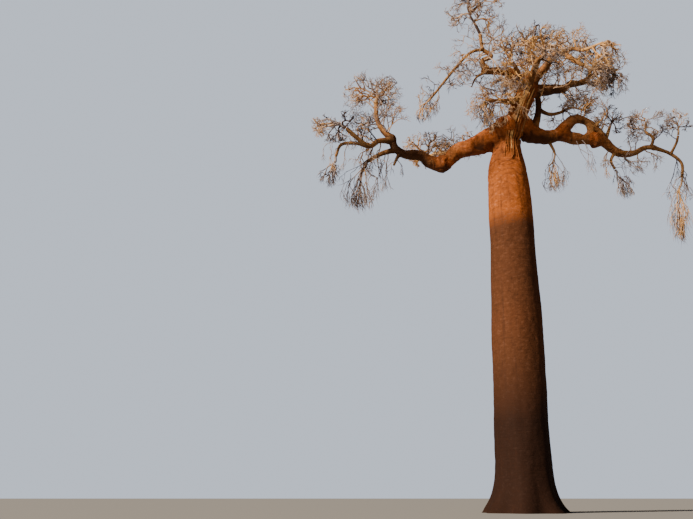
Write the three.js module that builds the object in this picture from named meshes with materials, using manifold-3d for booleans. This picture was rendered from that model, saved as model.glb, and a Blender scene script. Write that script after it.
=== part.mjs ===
// Baobab tree in its leafless season: a tall bottle trunk on a root flare, a leaning neck, long bent
// boughs, and bare twigs in masses round the boughs' ends.
// Metres are used in the tables and turned to millimetres in the meshes. +Z is up, +X is to the right
// and +Y away from the viewer. The origin is the middle of the flat cut at ground level.
import * as THREE from "three";
import Module from "manifold-3d";

const wasm = await Module();
wasm.setup();

const METRE = 1000;
const CLEARANCE = 0.0004; // between two pieces that touch, in metres

// The trunk.
const GROUND_RADIUS = 0.8; // at its foot, without the root flare
const FLARE = 0.42; // what the root flare adds to the radius at ground level
const FLARE_HEIGHT = 0.5; // height over which the flare dies away to a third
const ROOT_LOBES = 7;
const LOBE_DEPTH = 0.08; // share of the radius by which a root lobe stands out at ground level
const TRUNK_SIDES = 22;

// Stations up the trunk, one ring each: x, y, z and radius.
const TRUNK = [
  [0.02, 0, 0, GROUND_RADIUS],
  [0.02, 0, 0.25, 0.795],
  [0.03, 0, 0.6, 0.79],
  [0.04, 0, 1.2, 0.785],
  [0.08, 0, 3.0, 0.785],
  [0.12, 0, 5.0, 0.775],
  [0.16, 0, 7.0, 0.74],
  [0.17, 0, 9.2, 0.7],
  [0.17, 0, 10.5, 0.665],
  [0.18, 0, 11.05, 0.6],
  [0.21, 0, 11.45, 0.5],
  [0.26, 0, 11.85, 0.41],
  [0.42, 0, 12.35, 0.36],
  [0.6, 0, 12.8, 0.335],
  [0.78, 0, 13.25, 0.335],
  [0.96, 0, 13.65, 0.335],
  [1.08, 0, 13.9, 0.29],
  [1.16, 0, 14.08, 0.17],
];

// The limbs.
const TAPER = 1.5; // how soon a limb thins after its root
const RINGS_PER_BEND = 2;
const SIDES_PER_RADIUS = 25; // a limb has more sides the thicker its root is
const FEWEST_SIDES = 5;
const MOST_SIDES = 9;
const ROUND_LENGTH = 0.5; // how far a bare tip is rounded, as a share of its radius
const ROUND_RADIUS = 0.6; // the radius at its end, as a share of the same

// Each limb: what carries it, the share of its carrier's length where it leaves, its radius at its
// root and at its tip, and the places that it bends through.
const LIMBS = {
  left_arm: ["trunk", 0.7, 0.49, 0.22,
    [-0.37, 0.02, 11.98], [-0.9, 0.14, 11.82], [-1.47, 0.28, 11.62], [-1.96, 0.36, 11.07]],
  left_forearm: ["left_arm", 0.94, 0.25, 0.12,
    [-2.29, 0.3, 11.26], [-2.71, 0.15, 11.45], [-3.31, -0.15, 11.38], [-3.62, -0.35, 11.58],
    [-3.65, -0.4, 11.85]],
  left_riser: ["left_forearm", 0.97, 0.11, 0.075,
    [-3.98, -0.45, 12.08], [-4.18, -0.42, 12.54], [-4.2, -0.36, 13.1]],
  left_outer: ["left_forearm", 0.93, 0.11, 0.065,
    [-4.13, -0.6, 11.64], [-4.5, -0.8, 11.36], [-5.18, -1.15, 11.79]],
  left_low: ["left_outer", 0.66, 0.075, 0.05,
    [-4.95, -0.7, 11.51], [-5.38, -0.55, 11.52], [-5.55, -0.45, 11.17]],
  left_droop: ["left_forearm", 0.72, 0.1, 0.06, [-4.04, -0.12, 11.4], [-4.48, 0.1, 11.24]],
  left_stub: ["left_forearm", 0.64, 0.09, 0.04, [-3.52, -0.26, 11.18], [-3.63, -0.28, 10.92]],
  right_arm: ["trunk", 0.745, 0.32, 0.17,
    [1.1, 0.2, 12.3], [1.65, 0.3, 12.22], [2.2, 0.42, 12.34], [2.75, 0.54, 12.3],
    [3.2, 0.62, 12.3], [3.65, 0.72, 12.3]],
  right_forearm: ["right_arm", 0.9, 0.22, 0.08,
    [3.75, 0.74, 12.3], [4.08, 0.82, 12.05], [4.42, 0.9, 11.9], [4.9, 1.0, 11.97],
    [5.35, 1.1, 12.22], [5.7, 1.1, 12.24]],
  right_arch: ["right_arm", 0.5, 0.25, 0.115,
    [2.46, 0.5, 12.76], [2.84, 0.6, 13.07], [3.35, 0.66, 12.95], [3.78, 0.73, 12.5]],
  right_strut: ["right_arm", 0.82, 0.14, 0.115, [3.34, 0.65, 12.65], [3.29, 0.65, 12.92]],
  right_tip: ["right_forearm", 0.97, 0.075, 0.045,
    [6.25, 1.2, 12.05], [6.62, 1.2, 11.68], [6.58, 1.2, 11.15]],
  right_riser: ["right_forearm", 0.94, 0.06, 0.045, [5.78, 1.3, 12.7], [5.62, 1.45, 13.02]],
  right_outer: ["right_tip", 0.36, 0.05, 0.04, [6.4, 0.92, 12.3], [6.42, 0.75, 12.5]],
  right_sprout: ["right_forearm", 0.2, 0.08, 0.05, [3.98, 0.82, 12.6], [4.1, 0.84, 12.9]],
  right_spur: ["right_arm", 0.34, 0.07, 0.04, [1.85, 0.28, 11.8], [1.9, 0.28, 11.62]],
  right_droop: ["right_forearm", 0.4, 0.06, 0.04, [4.02, 0.88, 11.62], [4.12, 0.88, 11.32]],
  side_stem: ["right_arm", 0.18, 0.15, 0.09, [1.44, 0.27, 13.1], [1.47, 0.22, 13.7], [1.3, 0.1, 14.02]],
  right_bough: ["trunk", 0.94, 0.2, 0.09,
    [1.6, 0.25, 13.98], [2.15, 0.55, 14.2], [2.65, 0.9, 14.45], [2.95, 1.1, 14.8], [3.5, 1.4, 15.0]],
  right_bough_end: ["right_bough", 0.96, 0.09, 0.06,
    [4.05, 1.7, 15.5], [4.62, 1.95, 15.9], [4.95, 2.1, 15.85]],
  right_bough_riser: ["right_bough_end", 0.3, 0.06, 0.05, [3.89, 1.6, 15.5], [3.95, 1.5, 15.65]],
  arch_bough: ["trunk", 0.96, 0.16, 0.07,
    [1.56, -0.5, 14.42], [1.78, -0.9, 14.66], [2.0, -1.2, 14.6], [2.27, -1.5, 14.1], [2.5, -1.7, 13.8]],
  left_top_bough: ["trunk", 0.95, 0.26, 0.12,
    [0.68, -0.2, 14.22], [0.22, -0.42, 14.36], [-0.58, -0.8, 14.14]],
  left_top_riser: ["left_top_bough", 0.95, 0.11, 0.06,
    [-0.62, -0.9, 14.46], [-0.32, -0.92, 14.64], [-0.6, -1.0, 14.88], [-0.68, -1.1, 15.35]],
  left_long_bough: ["left_top_riser", 0.74, 0.06, 0.035,
    [-1.06, -1.15, 14.62], [-1.6, -1.4, 13.92], [-2.04, -1.6, 13.25], [-2.33, -1.7, 12.82],
    [-2.5, -1.75, 12.58]],
  left_hook: ["left_top_bough", 0.93, 0.06, 0.02, [-0.85, -0.95, 13.82], [-1.05, -1.0, 13.42]],
  low_left_bough: ["trunk", 0.87, 0.13, 0.06,
    [0.3, -0.5, 13.16], [-0.15, -0.72, 13.06], [-0.55, -0.92, 12.92]],
  low_right_bough: ["side_stem", 0.42, 0.08, 0.05,
    [1.9, 0.5, 13.22], [2.4, 0.9, 13.5], [2.75, 1.1, 13.75]],
  front_bough: ["trunk", 0.92, 0.16, 0.07, [1.06, -0.7, 14.0], [1.1, -1.4, 14.12], [1.15, -2.0, 14.0]],
  front_left_bough: ["trunk", 0.9, 0.14, 0.07, [0.68, -0.7, 13.9], [0.32, -1.5, 13.88]],
  front_right_bough: ["arch_bough", 0.6, 0.085, 0.06, [2.21, -1.6, 14.48], [2.38, -1.95, 14.21]],
  back_bough: ["trunk", 0.94, 0.19, 0.08, [1.2, 1.0, 14.25], [1.45, 2.0, 14.9], [1.35, 2.75, 15.45]],
  back_right_bough: ["trunk", 0.95, 0.17, 0.07,
    [1.84, 1.0, 14.56], [2.9, 1.9, 15.13], [3.8, 2.35, 15.55], [4.3, 2.6, 15.75]],
  back_left_bough: ["trunk", 0.79, 0.2, 0.08, [-0.3, 0.95, 12.5], [-1.1, 1.7, 12.35], [-1.8, 2.3, 12.55]],
  crown_top_bough: ["trunk", 0.965, 0.16, 0.075, [1.3, 0.3, 14.6], [1.55, 0.35, 14.95], [1.45, 0.4, 15.2]],
};

// How a shoot of a mass grows.
const SHOOT_STEPS = 4;
const KEEP = 0.55; // how much of its heading a shoot keeps at each step
const AIM = 0.55; // how strongly it turns to its end
const STRAY = 0.5; // how far the seed turns it aside
const HANG = 0.22; // how strongly a drooping mass pulls its twigs down
const TIP_SHARE = 0.35; // a twig's radius near its tip, as a share of its foot's
const TWIG_CLEARANCE = 0.004;
const TRIES = 4; // seeds that a twig is given before it is skipped

// The stem of a mass and its first twigs.
const PAST_MIDDLE = 0.25; // how far past the middle of its space a stem ends
const FIRST_PER_METRE = 6.8; // first twigs on a stem, for each metre of the space's mean half size
const FIRST_RADIUS = 0.55; // a first twig's radius at its foot, as a share of the bough's tip
const LOWEST_FORK = 0.1; // shares of the stem's length where first twigs leave it
const HIGHEST_FORK = 0.85;
const OUTWARD = 0.96; // how near the edge of the space the twigs may end
const SHORTEST = 0.6; // the nearest end of a first twig, from the middle to the edge
const SOONER = 0.6; // how much nearer to its start the stem of a hanging mass forks
const THINNER = 0.3; // how much thinner the twigs of a hanging mass are
const CLOSER = 0.5; // how much less its side twigs splay
const SPREAD_RISE = 0.7548777; // steps of a sequence that spreads directions evenly
const SPREAD_TURN = 0.5698403;
const STEM_SIDES = 5;
const TWIG_SIDES = 3;

// The side twigs on each first twig.
const SIDE_TWIGS = 2;
const SIDE_RADIUS = 0.62; // a side twig's radius at its foot, as a share of its carrier's
const SHORTER = 0.6; // a side twig's length, as a share of its carrier's
const SPLAY = 1.1; // how far a side twig turns from its carrier
const NEAREST = 0.4; // shares of the carrier's length where side twigs leave it
const FARTHEST = 0.9;
const POINTS_USED = 2; // a twig of the solid follows every second point of its shoot

// Seeds of twigs, worked out from their carrier's.
const firstSeed = (seed, i, attempt) => seed + 0.37 * (i + 1) + 0.011 * attempt;
const sideSeed = (seed, j) => 3.1 * seed + 1.7 * j;

// Each mass: the limb whose tip carries it, the middle of its egg-shaped space, the half sizes of
// that space along x, y and z, how much its twigs hang, and its seed.
const MASSES = {
  left_riser_twigs: ["left_riser", [-4.33, -0.3, 13.71], [1.15, 0.8, 0.6], 0, 11],
  left_outer_twigs: ["left_outer", [-5.6, -1.3, 11.78], [0.85, 0.8, 0.5], 0, 12],
  left_low_twigs: ["left_low", [-5.78, -0.35, 10.74], [0.5, 0.5, 0.55], 0.5, 13],
  left_droop_twigs: ["left_droop", [-4.64, 0.25, 10.58], [0.98, 0.75, 0.88], 1, 14],
  right_tip_twigs: ["right_tip", [6.26, 1.2, 10.13], [0.46, 0.42, 1.25], 1, 15],
  right_riser_twigs: ["right_riser", [5.7, 1.5, 13.35], [0.9, 0.8, 0.55], 0, 16],
  right_outer_twigs: ["right_outer", [6.4, 0.7, 12.95], [0.55, 0.6, 0.55], 0, 17],
  right_sprout_twigs: ["right_sprout", [4.4, 0.9, 13.25], [0.8, 0.7, 0.55], 0, 18],
  right_droop_twigs: ["right_droop", [4.4, 0.9, 11.0], [0.62, 0.5, 0.65], 1, 19],
  right_hanging_twigs: ["right_spur", [1.75, 0.3, 11.1], [0.7, 0.45, 0.75], 1, 34],
  right_bough_twigs: ["right_bough_end", [4.96, 2.2, 15.56], [0.66, 0.7, 0.62], 0.5, 20],
  right_top_twigs: ["right_bough_riser", [3.83, 1.4, 16.23], [1.05, 0.8, 0.58], 0, 21],
  arch_twigs: ["arch_bough", [2.97, -1.95, 13.36], [0.56, 0.6, 0.42], 0.3, 22],
  top_left_twigs: ["left_top_riser", [-0.9, -1.1, 16.5], [1.1, 0.95, 1.2], 0, 23],
  long_bough_twigs: ["left_long_bough", [-2.68, -1.8, 12.23], [0.44, 0.42, 0.45], 0.7, 24],
  low_left_twigs: ["low_left_bough", [-0.5, -0.95, 12.65], [0.85, 0.6, 0.75], 0.5, 25],
  low_right_twigs: ["low_right_bough", [3.3, 1.3, 14.11], [0.76, 0.62, 0.45], 0, 26],
  front_twigs: ["front_bough", [1.05, -2.75, 13.95], [0.95, 0.9, 0.55], 0, 27],
  front_left_twigs: ["front_left_bough", [0.1, -2.4, 13.85], [0.8, 0.8, 0.55], 0, 28],
  front_right_twigs: ["front_right_bough", [2.85, -2.4, 13.66], [0.75, 0.7, 0.42], 0, 29],
  back_twigs: ["back_bough", [1.5, 3.4, 16.3], [1.1, 0.95, 0.7], 0, 30],
  back_right_twigs: ["back_right_bough", [4.91, 3.1, 16.28], [0.9, 0.85, 0.6], 0, 31],
  back_left_twigs: ["back_left_bough", [-2.2, 2.8, 13.0], [1.05, 0.95, 0.7], 0, 32],
  crown_top_twigs: ["crown_top_bough", [1.6, 0.4, 15.95], [1.35, 1.15, 0.7], 0, 33],
};

const vector = (p) => new THREE.Vector3(p[0], p[1], p[2]);
const mix = (a, b, t) => a + (b - a) * t;

// A share from 0 to 1 that depends only on a seed and a number.
function draw(seed, number) {
  const s = Math.sin(seed * 12.9898 + number * 78.233) * 43758.5453;
  return s - Math.floor(s);
}

// The place at a share of a chain of points, and the heading there.
function along(points, share) {
  const t = share * (points.length - 1);
  const k = Math.min(Math.floor(t), points.length - 2);
  const heading = points[k + 1].clone().sub(points[k]).normalize();
  return { place: points[k].clone().lerp(points[k + 1], t - k), heading };
}

// A closed solid from rings of points. A ring of one point is a pointed tip.
function solidFromRings(rings) {
  const faces = [];
  let first = 0;
  for (let k = 0; k < rings.length - 1; k++) {
    const n = rings[k].length;
    const next = first + n;
    for (let i = 0; i < n; i++) {
      const j = (i + 1) % n;
      if (rings[k + 1].length === 1) {
        faces.push(first + i, first + j, next);
      } else {
        faces.push(first + i, first + j, next + j, first + i, next + j, next + i);
      }
    }
    first = next;
  }
  for (let i = 1; i < rings[0].length - 1; i++) faces.push(0, i + 1, i);
  for (let i = 1; i < rings.at(-1).length - 1; i++) faces.push(first, first + i, first + i + 1);
  const positions = new Float32Array(rings.flat().flatMap((p) => [p.x * METRE, p.y * METRE, p.z * METRE]));
  return new wasm.Manifold(new wasm.Mesh({
    numProp: 3, vertProperties: positions, triVerts: new Uint32Array(faces) }));
}

// Rings of a tube along a chain of points, each square to the chain and turned as little as can be.
function tubeRings(points, radii, sides, pointed) {
  const side = new THREE.Vector3();
  return points.map((p, k) => {
    const before = points[Math.max(k - 1, 0)];
    const after = points[Math.min(k + 1, points.length - 1)];
    const tangent = after.clone().sub(before).normalize();
    if (k === 0) {
      const upright = Math.abs(tangent.x) > 0.8;
      side.set(upright ? 0 : 1, upright ? 1 : 0, 0);
    }
    side.addScaledVector(tangent, -side.dot(tangent)).normalize();
    const across = tangent.clone().cross(side);
    if (pointed && k === points.length - 1) return [p.clone()];
    return Array.from({ length: sides }, (_, i) => {
      const angle = (2 * Math.PI * i) / sides;
      return p.clone()
        .addScaledVector(side, radii[k] * Math.cos(angle))
        .addScaledVector(across, radii[k] * Math.sin(angle));
    });
  });
}

// The trunk's radius at an angle: the station's radius, the root flare and its lobes.
function trunkRadius(radius, height, angle) {
  const fade = Math.exp(-height / FLARE_HEIGHT);
  return (radius + FLARE * fade) * (1 + LOBE_DEPTH * fade * Math.cos(ROOT_LOBES * angle));
}

// The trunk, in level rings from its flat cut to the fork, grown all round by a clearance.
function trunkSolid(grow) {
  return solidFromRings(TRUNK.map(([x, y, z, radius], k) =>
    Array.from({ length: TRUNK_SIDES }, (_, i) => {
      const angle = (2 * Math.PI * i) / TRUNK_SIDES;
      const r = trunkRadius(radius, z, angle) + grow;
      const top = k === TRUNK.length - 1 ? grow : 0;
      return new THREE.Vector3(x + r * Math.cos(angle), y + r * Math.sin(angle), z + top);
    })));
}

// The chains of points and radii that the trunk and the limbs follow.
const chains = { trunk: { points: TRUNK.map(vector), radii: TRUNK.map((station) => station[3]) } };

function limbChain([carrier, share, root, tip, ...bends]) {
  const start = along(chains[carrier].points, share).place;
  const curve = new THREE.CatmullRomCurve3([start, ...bends.map(vector)], false, "catmullrom", 0.5);
  const count = bends.length * RINGS_PER_BEND;
  const shares = Array.from({ length: count + 1 }, (_, k) => k / count);
  return {
    points: shares.map((s) => curve.getPoint(s)),
    radii: shares.map((s) => mix(tip, root, (1 - s) ** TAPER)),
  };
}

for (const [name, limb] of Object.entries(LIMBS)) chains[name] = limbChain(limb);

// A limb, flat at a tip that carries a mass and rounded at one that carries nothing.
const carriers = new Set(Object.values(MASSES).map((mass) => mass[0]));

function limbSolid(name, grow) {
  const points = chains[name].points.map((p) => p.clone());
  const radii = chains[name].radii.map((r) => r + grow);
  const heading = along(points, 1).heading;
  const tip = radii.at(-1);
  points[0].addScaledVector(along(points, 0).heading, -grow);
  if (carriers.has(name)) {
    points.at(-1).addScaledVector(heading, grow);
  } else {
    points.push(points.at(-1).clone().addScaledVector(heading, tip * ROUND_LENGTH));
    radii.push(tip * ROUND_RADIUS);
  }
  const sides = Math.round(3 + SIDES_PER_RADIUS * LIMBS[name][2]);
  const rings = tubeRings(points, radii, THREE.MathUtils.clamp(sides, FEWEST_SIDES, MOST_SIDES), false);
  return solidFromRings(rings);
}

// The largest body of a solid, so that a loose scrap left by a cut is dropped.
function largestBody(solid) {
  return solid.decompose().sort((a, b) => b.volume() - a.volume())[0];
}

// Straight stretches of every limb and twig made so far, which keep later twigs clear.
const stretches = [];

function remember(owner, points, radii) {
  for (let k = 1; k < points.length; k++) {
    stretches.push({ owner, from: points[k - 1], to: points[k], radius: Math.max(radii[k - 1], radii[k]) });
  }
}

// Shortest distance between two straight stretches.
function distanceBetween(a, b, c, d) {
  const u = b.clone().sub(a);
  const v = d.clone().sub(c);
  const w = a.clone().sub(c);
  const uu = u.dot(u);
  const uv = u.dot(v);
  const vv = v.dot(v);
  const uw = u.dot(w);
  const vw = v.dot(w);
  const det = uu * vv - uv * uv;
  const clamp = THREE.MathUtils.clamp;
  const s = det > 1e-12 ? clamp((uv * vw - vv * uw) / det, 0, 1) : 0;
  const t = clamp((uv * s + vw) / vv, 0, 1);
  const back = clamp((uv * t - uw) / uu, 0, 1);
  return a.clone().addScaledVector(u, back).distanceTo(c.clone().addScaledVector(v, t));
}

// Whether a chain with a radius comes too near a stretch of another piece.
function touches(owner, points, radius) {
  return stretches.some((other) => other.owner !== owner && points.slice(1).some((p, k) =>
    distanceBetween(points[k], p, other.from, other.to) < radius + other.radius + TWIG_CLEARANCE));
}

// A shoot's points. Each step keeps part of the heading, turns to the end, strays by the seed, and
// hangs where the mass droops.
function shootPoints(seed, start, heading, end, hang) {
  const points = [start.clone()];
  const d = heading.clone();
  for (let k = 0; k < SHOOT_STEPS; k++) {
    const way = end.clone().sub(points[k]);
    const step = way.length() / (SHOOT_STEPS - k);
    const aside = new THREE.Vector3(draw(seed, 3 * k), draw(seed, 3 * k + 1), draw(seed, 3 * k + 2));
    aside.multiplyScalar(2).subScalar(1);
    d.multiplyScalar(KEEP).addScaledVector(way.normalize(), AIM).addScaledVector(aside, STRAY);
    d.z -= hang * HANG;
    d.normalize();
    points.push(points[k].clone().addScaledVector(d, step));
  }
  return points;
}

// How far out a place is in a mass's space: 0 in its middle and 1 at its edge.
function outness(mass, place) {
  const { middle, half } = mass;
  return place.clone().sub(middle).divide(half).length();
}

// Adds a twig to its mass, unless it would leave the space or touch a limb or another mass.
function addTwig(mass, seed, start, heading, end, radius) {
  const points = shootPoints(seed, start, heading, end, mass.hang);
  const limit = Math.max(1, outness(mass, start));
  if (points.some((p) => outness(mass, p) > limit)) return null;
  const used = points.filter((_, k) => k % POINTS_USED === 0);
  if (touches(mass.name, used, radius)) return null;
  remember(mass.name, used, used.map(() => radius));
  const radii = used.map((_, k) => radius * mix(1, TIP_SHARE, k / (used.length - 1)));
  mass.solids.push(solidFromRings(tubeRings(used, radii, TWIG_SIDES, true)));
  return points;
}

// Where a first twig ends: the directions are spread evenly, down where the mass hangs, and most twigs
// end near the edge.
function firstEnd(mass, i) {
  const rise = 1 - 2 * ((draw(mass.seed, 90) + i * SPREAD_RISE) % 1);
  const turn = 2 * Math.PI * ((draw(mass.seed, 91) + i * SPREAD_TURN) % 1);
  const flat = Math.sqrt(1 - rise * rise);
  const height = mix(rise, -Math.abs(rise), mass.hang);
  const toEdge = new THREE.Vector3(flat * Math.cos(turn), flat * Math.sin(turn), height);
  const reach = mix(SHORTEST, OUTWARD, Math.sqrt(draw(mass.seed, 100 + i)));
  return mass.middle.clone().addScaledVector(toEdge.multiply(mass.half), reach);
}

// Twigs on a twig, turned aside by the seed and ended inside the space.
function addSideTwigs(mass, seed, carrier, radius) {
  const length = carrier[0].distanceTo(carrier[SHOOT_STEPS]) * SHORTER;
  let made = 0;
  for (let j = 0; j < SIDE_TWIGS * TRIES && made < SIDE_TWIGS; j++) {
    const ownSeed = sideSeed(seed, j);
    const { place, heading } = along(carrier, mix(NEAREST, FARTHEST, (j * SPREAD_RISE) % 1));
    const aside = new THREE.Vector3(draw(ownSeed, 50), draw(ownSeed, 51), draw(ownSeed, 52)).subScalar(0.5);
    aside.addScaledVector(heading, -aside.dot(heading)).normalize();
    aside.multiplyScalar(SPLAY * (1 - CLOSER * mass.hang));
    const way = aside.add(heading).normalize();
    const end = place.clone().addScaledVector(way, length);
    const out = outness(mass, end);
    if (out > OUTWARD) end.sub(mass.middle).multiplyScalar(OUTWARD / out).add(mass.middle);
    if (addTwig(mass, ownSeed, place, way, end, radius * SIDE_RADIUS)) made += 1;
  }
}

// A mass of twigs: a stem that goes on from the bough's tip, first twigs that end near the edge of
// the space, and side twigs on those.
function massSolid(name) {
  const [carrier, middleAt, halfSizes, hang, seed] = MASSES[name];
  const middle = vector(middleAt);
  const half = vector(halfSizes);
  const mass = { name, middle, half, hang, seed, solids: [] };
  const { place, heading } = along(chains[carrier].points, 1);
  const foot = chains[carrier].radii.at(-1);
  const start = place.addScaledVector(heading, CLEARANCE);
  const through = start.clone().addScaledVector(heading, foot);
  const bent = shootPoints(seed, through, heading, middle.clone().lerp(start, -PAST_MIDDLE), 0);
  const stem = [start, through, bent[2], bent[4]];
  const radii = [foot, foot, foot * mix(1, TIP_SHARE, 0.5), foot * TIP_SHARE];
  mass.solids.push(solidFromRings(tubeRings(stem, radii, STEM_SIDES, true)));
  remember(name, stem, radii);
  const radius = foot * FIRST_RADIUS * (1 - THINNER * hang);
  const count = Math.round(FIRST_PER_METRE * (half.x + half.y + half.z) / 3);
  for (let i = 0; i < count; i++) {
    const end = firstEnd(mass, i);
    const aside = end.clone().sub(start).angleTo(middle.clone().sub(start)) / Math.PI;
    const share = mix(HIGHEST_FORK, LOWEST_FORK, Math.min(1, aside * 2)) * (1 - SOONER * hang);
    const fork = along([through, bent[2], bent[4]], share);
    const way = end.clone().sub(fork.place).normalize().add(fork.heading).normalize();
    for (let attempt = 0; attempt < TRIES; attempt++) {
      const ownSeed = firstSeed(seed, i, attempt);
      const twig = addTwig(mass, ownSeed, fork.place, way, end, radius);
      if (!twig) continue;
      addSideTwigs(mass, ownSeed, twig, radius);
      break;
    }
  }
  return largestBody(wasm.Manifold.union(mass.solids));
}

const bark = new THREE.MeshStandardMaterial({ color: 0x9c5a30, roughness: 0.9, metalness: 0 });
const twigBark = new THREE.MeshStandardMaterial({ color: 0xa8865f, roughness: 0.9, metalness: 0 });

// A named mesh from a solid.
function meshOf(name, solid, material) {
  const got = solid.getMesh();
  const positions = new Float32Array(got.numVert * 3);
  for (let i = 0; i < got.numVert; i++) {
    positions.set(got.vertProperties.subarray(i * got.numProp, i * got.numProp + 3), i * 3);
  }
  const geometry = new THREE.BufferGeometry()
    .setAttribute("position", new THREE.BufferAttribute(positions, 3))
    .setIndex(new THREE.BufferAttribute(got.triVerts, 1));
  const mesh = new THREE.Mesh(geometry, material.clone());
  mesh.geometry.computeVertexNormals();
  mesh.name = name;
  return mesh;
}

const tree = new THREE.Group();
tree.name = "baobab_tree";
tree.add(meshOf("trunk", trunkSolid(0), bark));

// Each limb is cut clear of the trunk and of the limbs before it.
const cutters = [trunkSolid(CLEARANCE)];
for (const name of Object.keys(LIMBS)) {
  const limb = largestBody(limbSolid(name, 0).subtract(wasm.Manifold.union(cutters)));
  tree.add(meshOf(name, limb, bark));
  cutters.push(limbSolid(name, CLEARANCE));
}

for (const [name, chain] of Object.entries(chains)) remember(name, chain.points, chain.radii);
for (const name of Object.keys(MASSES)) tree.add(meshOf(name, massSolid(name), twigBark));

export default tree;
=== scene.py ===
"""Baobab tree in its leafless season: bark with relief over the trunk and boughs, and fine twigs.

Sizes are in metres, with +Z up, +X to the right and +Y away from the viewer. The trunk, limbs and
masses of twigs follow the part's own layout, and the twigs grow on by its rule to finer ones.
"""

import math
from collections import namedtuple

import bpy
import numpy as np
from bpy.props import FloatProperty, FloatVectorProperty, IntProperty, PointerProperty
from bpy.types import Operator, Panel, PropertyGroup
from mathutils import Euler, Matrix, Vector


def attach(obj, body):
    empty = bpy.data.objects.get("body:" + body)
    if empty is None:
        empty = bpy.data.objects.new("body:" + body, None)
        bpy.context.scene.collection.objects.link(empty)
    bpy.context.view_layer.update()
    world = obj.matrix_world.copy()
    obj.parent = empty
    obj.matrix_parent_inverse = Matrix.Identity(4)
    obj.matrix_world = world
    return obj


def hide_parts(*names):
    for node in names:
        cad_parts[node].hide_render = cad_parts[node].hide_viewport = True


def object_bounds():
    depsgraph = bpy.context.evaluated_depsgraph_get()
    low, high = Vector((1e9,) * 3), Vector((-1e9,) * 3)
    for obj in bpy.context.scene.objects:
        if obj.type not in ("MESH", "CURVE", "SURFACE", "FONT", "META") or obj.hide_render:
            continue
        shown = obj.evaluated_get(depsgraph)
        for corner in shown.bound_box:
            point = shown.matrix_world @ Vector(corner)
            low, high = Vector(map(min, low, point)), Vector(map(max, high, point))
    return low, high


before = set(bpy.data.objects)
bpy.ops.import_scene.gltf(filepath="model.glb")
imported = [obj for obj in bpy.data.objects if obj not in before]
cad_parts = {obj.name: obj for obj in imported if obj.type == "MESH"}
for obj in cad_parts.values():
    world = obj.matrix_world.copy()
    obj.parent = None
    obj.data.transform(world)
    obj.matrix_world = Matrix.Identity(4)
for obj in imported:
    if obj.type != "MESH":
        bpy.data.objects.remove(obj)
CAD_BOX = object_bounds()

bl_info = {
    "name": "Baobab tree",
    "version": (1, 0, 0),
    "blender": (4, 5, 0),
    "location": "View3D > Sidebar > Baobab",
    "description": "Makes the bark, the fine twigs and the stage of a leafless baobab tree",
    "category": "Object",
}

# The trunk, as in the part.
GROUND_RADIUS = 0.8
FLARE = 0.42
FLARE_HEIGHT = 0.5
ROOT_LOBES = 7
LOBE_DEPTH = 0.08

# Stations up the trunk: x, y, z and radius.
TRUNK = [
    [0.02, 0, 0, GROUND_RADIUS],
    [0.02, 0, 0.25, 0.795],
    [0.03, 0, 0.6, 0.79],
    [0.04, 0, 1.2, 0.785],
    [0.08, 0, 3.0, 0.785],
    [0.12, 0, 5.0, 0.775],
    [0.16, 0, 7.0, 0.74],
    [0.17, 0, 9.2, 0.7],
    [0.17, 0, 10.5, 0.665],
    [0.18, 0, 11.05, 0.6],
    [0.21, 0, 11.45, 0.5],
    [0.26, 0, 11.85, 0.41],
    [0.42, 0, 12.35, 0.36],
    [0.6, 0, 12.8, 0.335],
    [0.78, 0, 13.25, 0.335],
    [0.96, 0, 13.65, 0.335],
    [1.08, 0, 13.9, 0.29],
    [1.16, 0, 14.08, 0.17],
]

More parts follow.
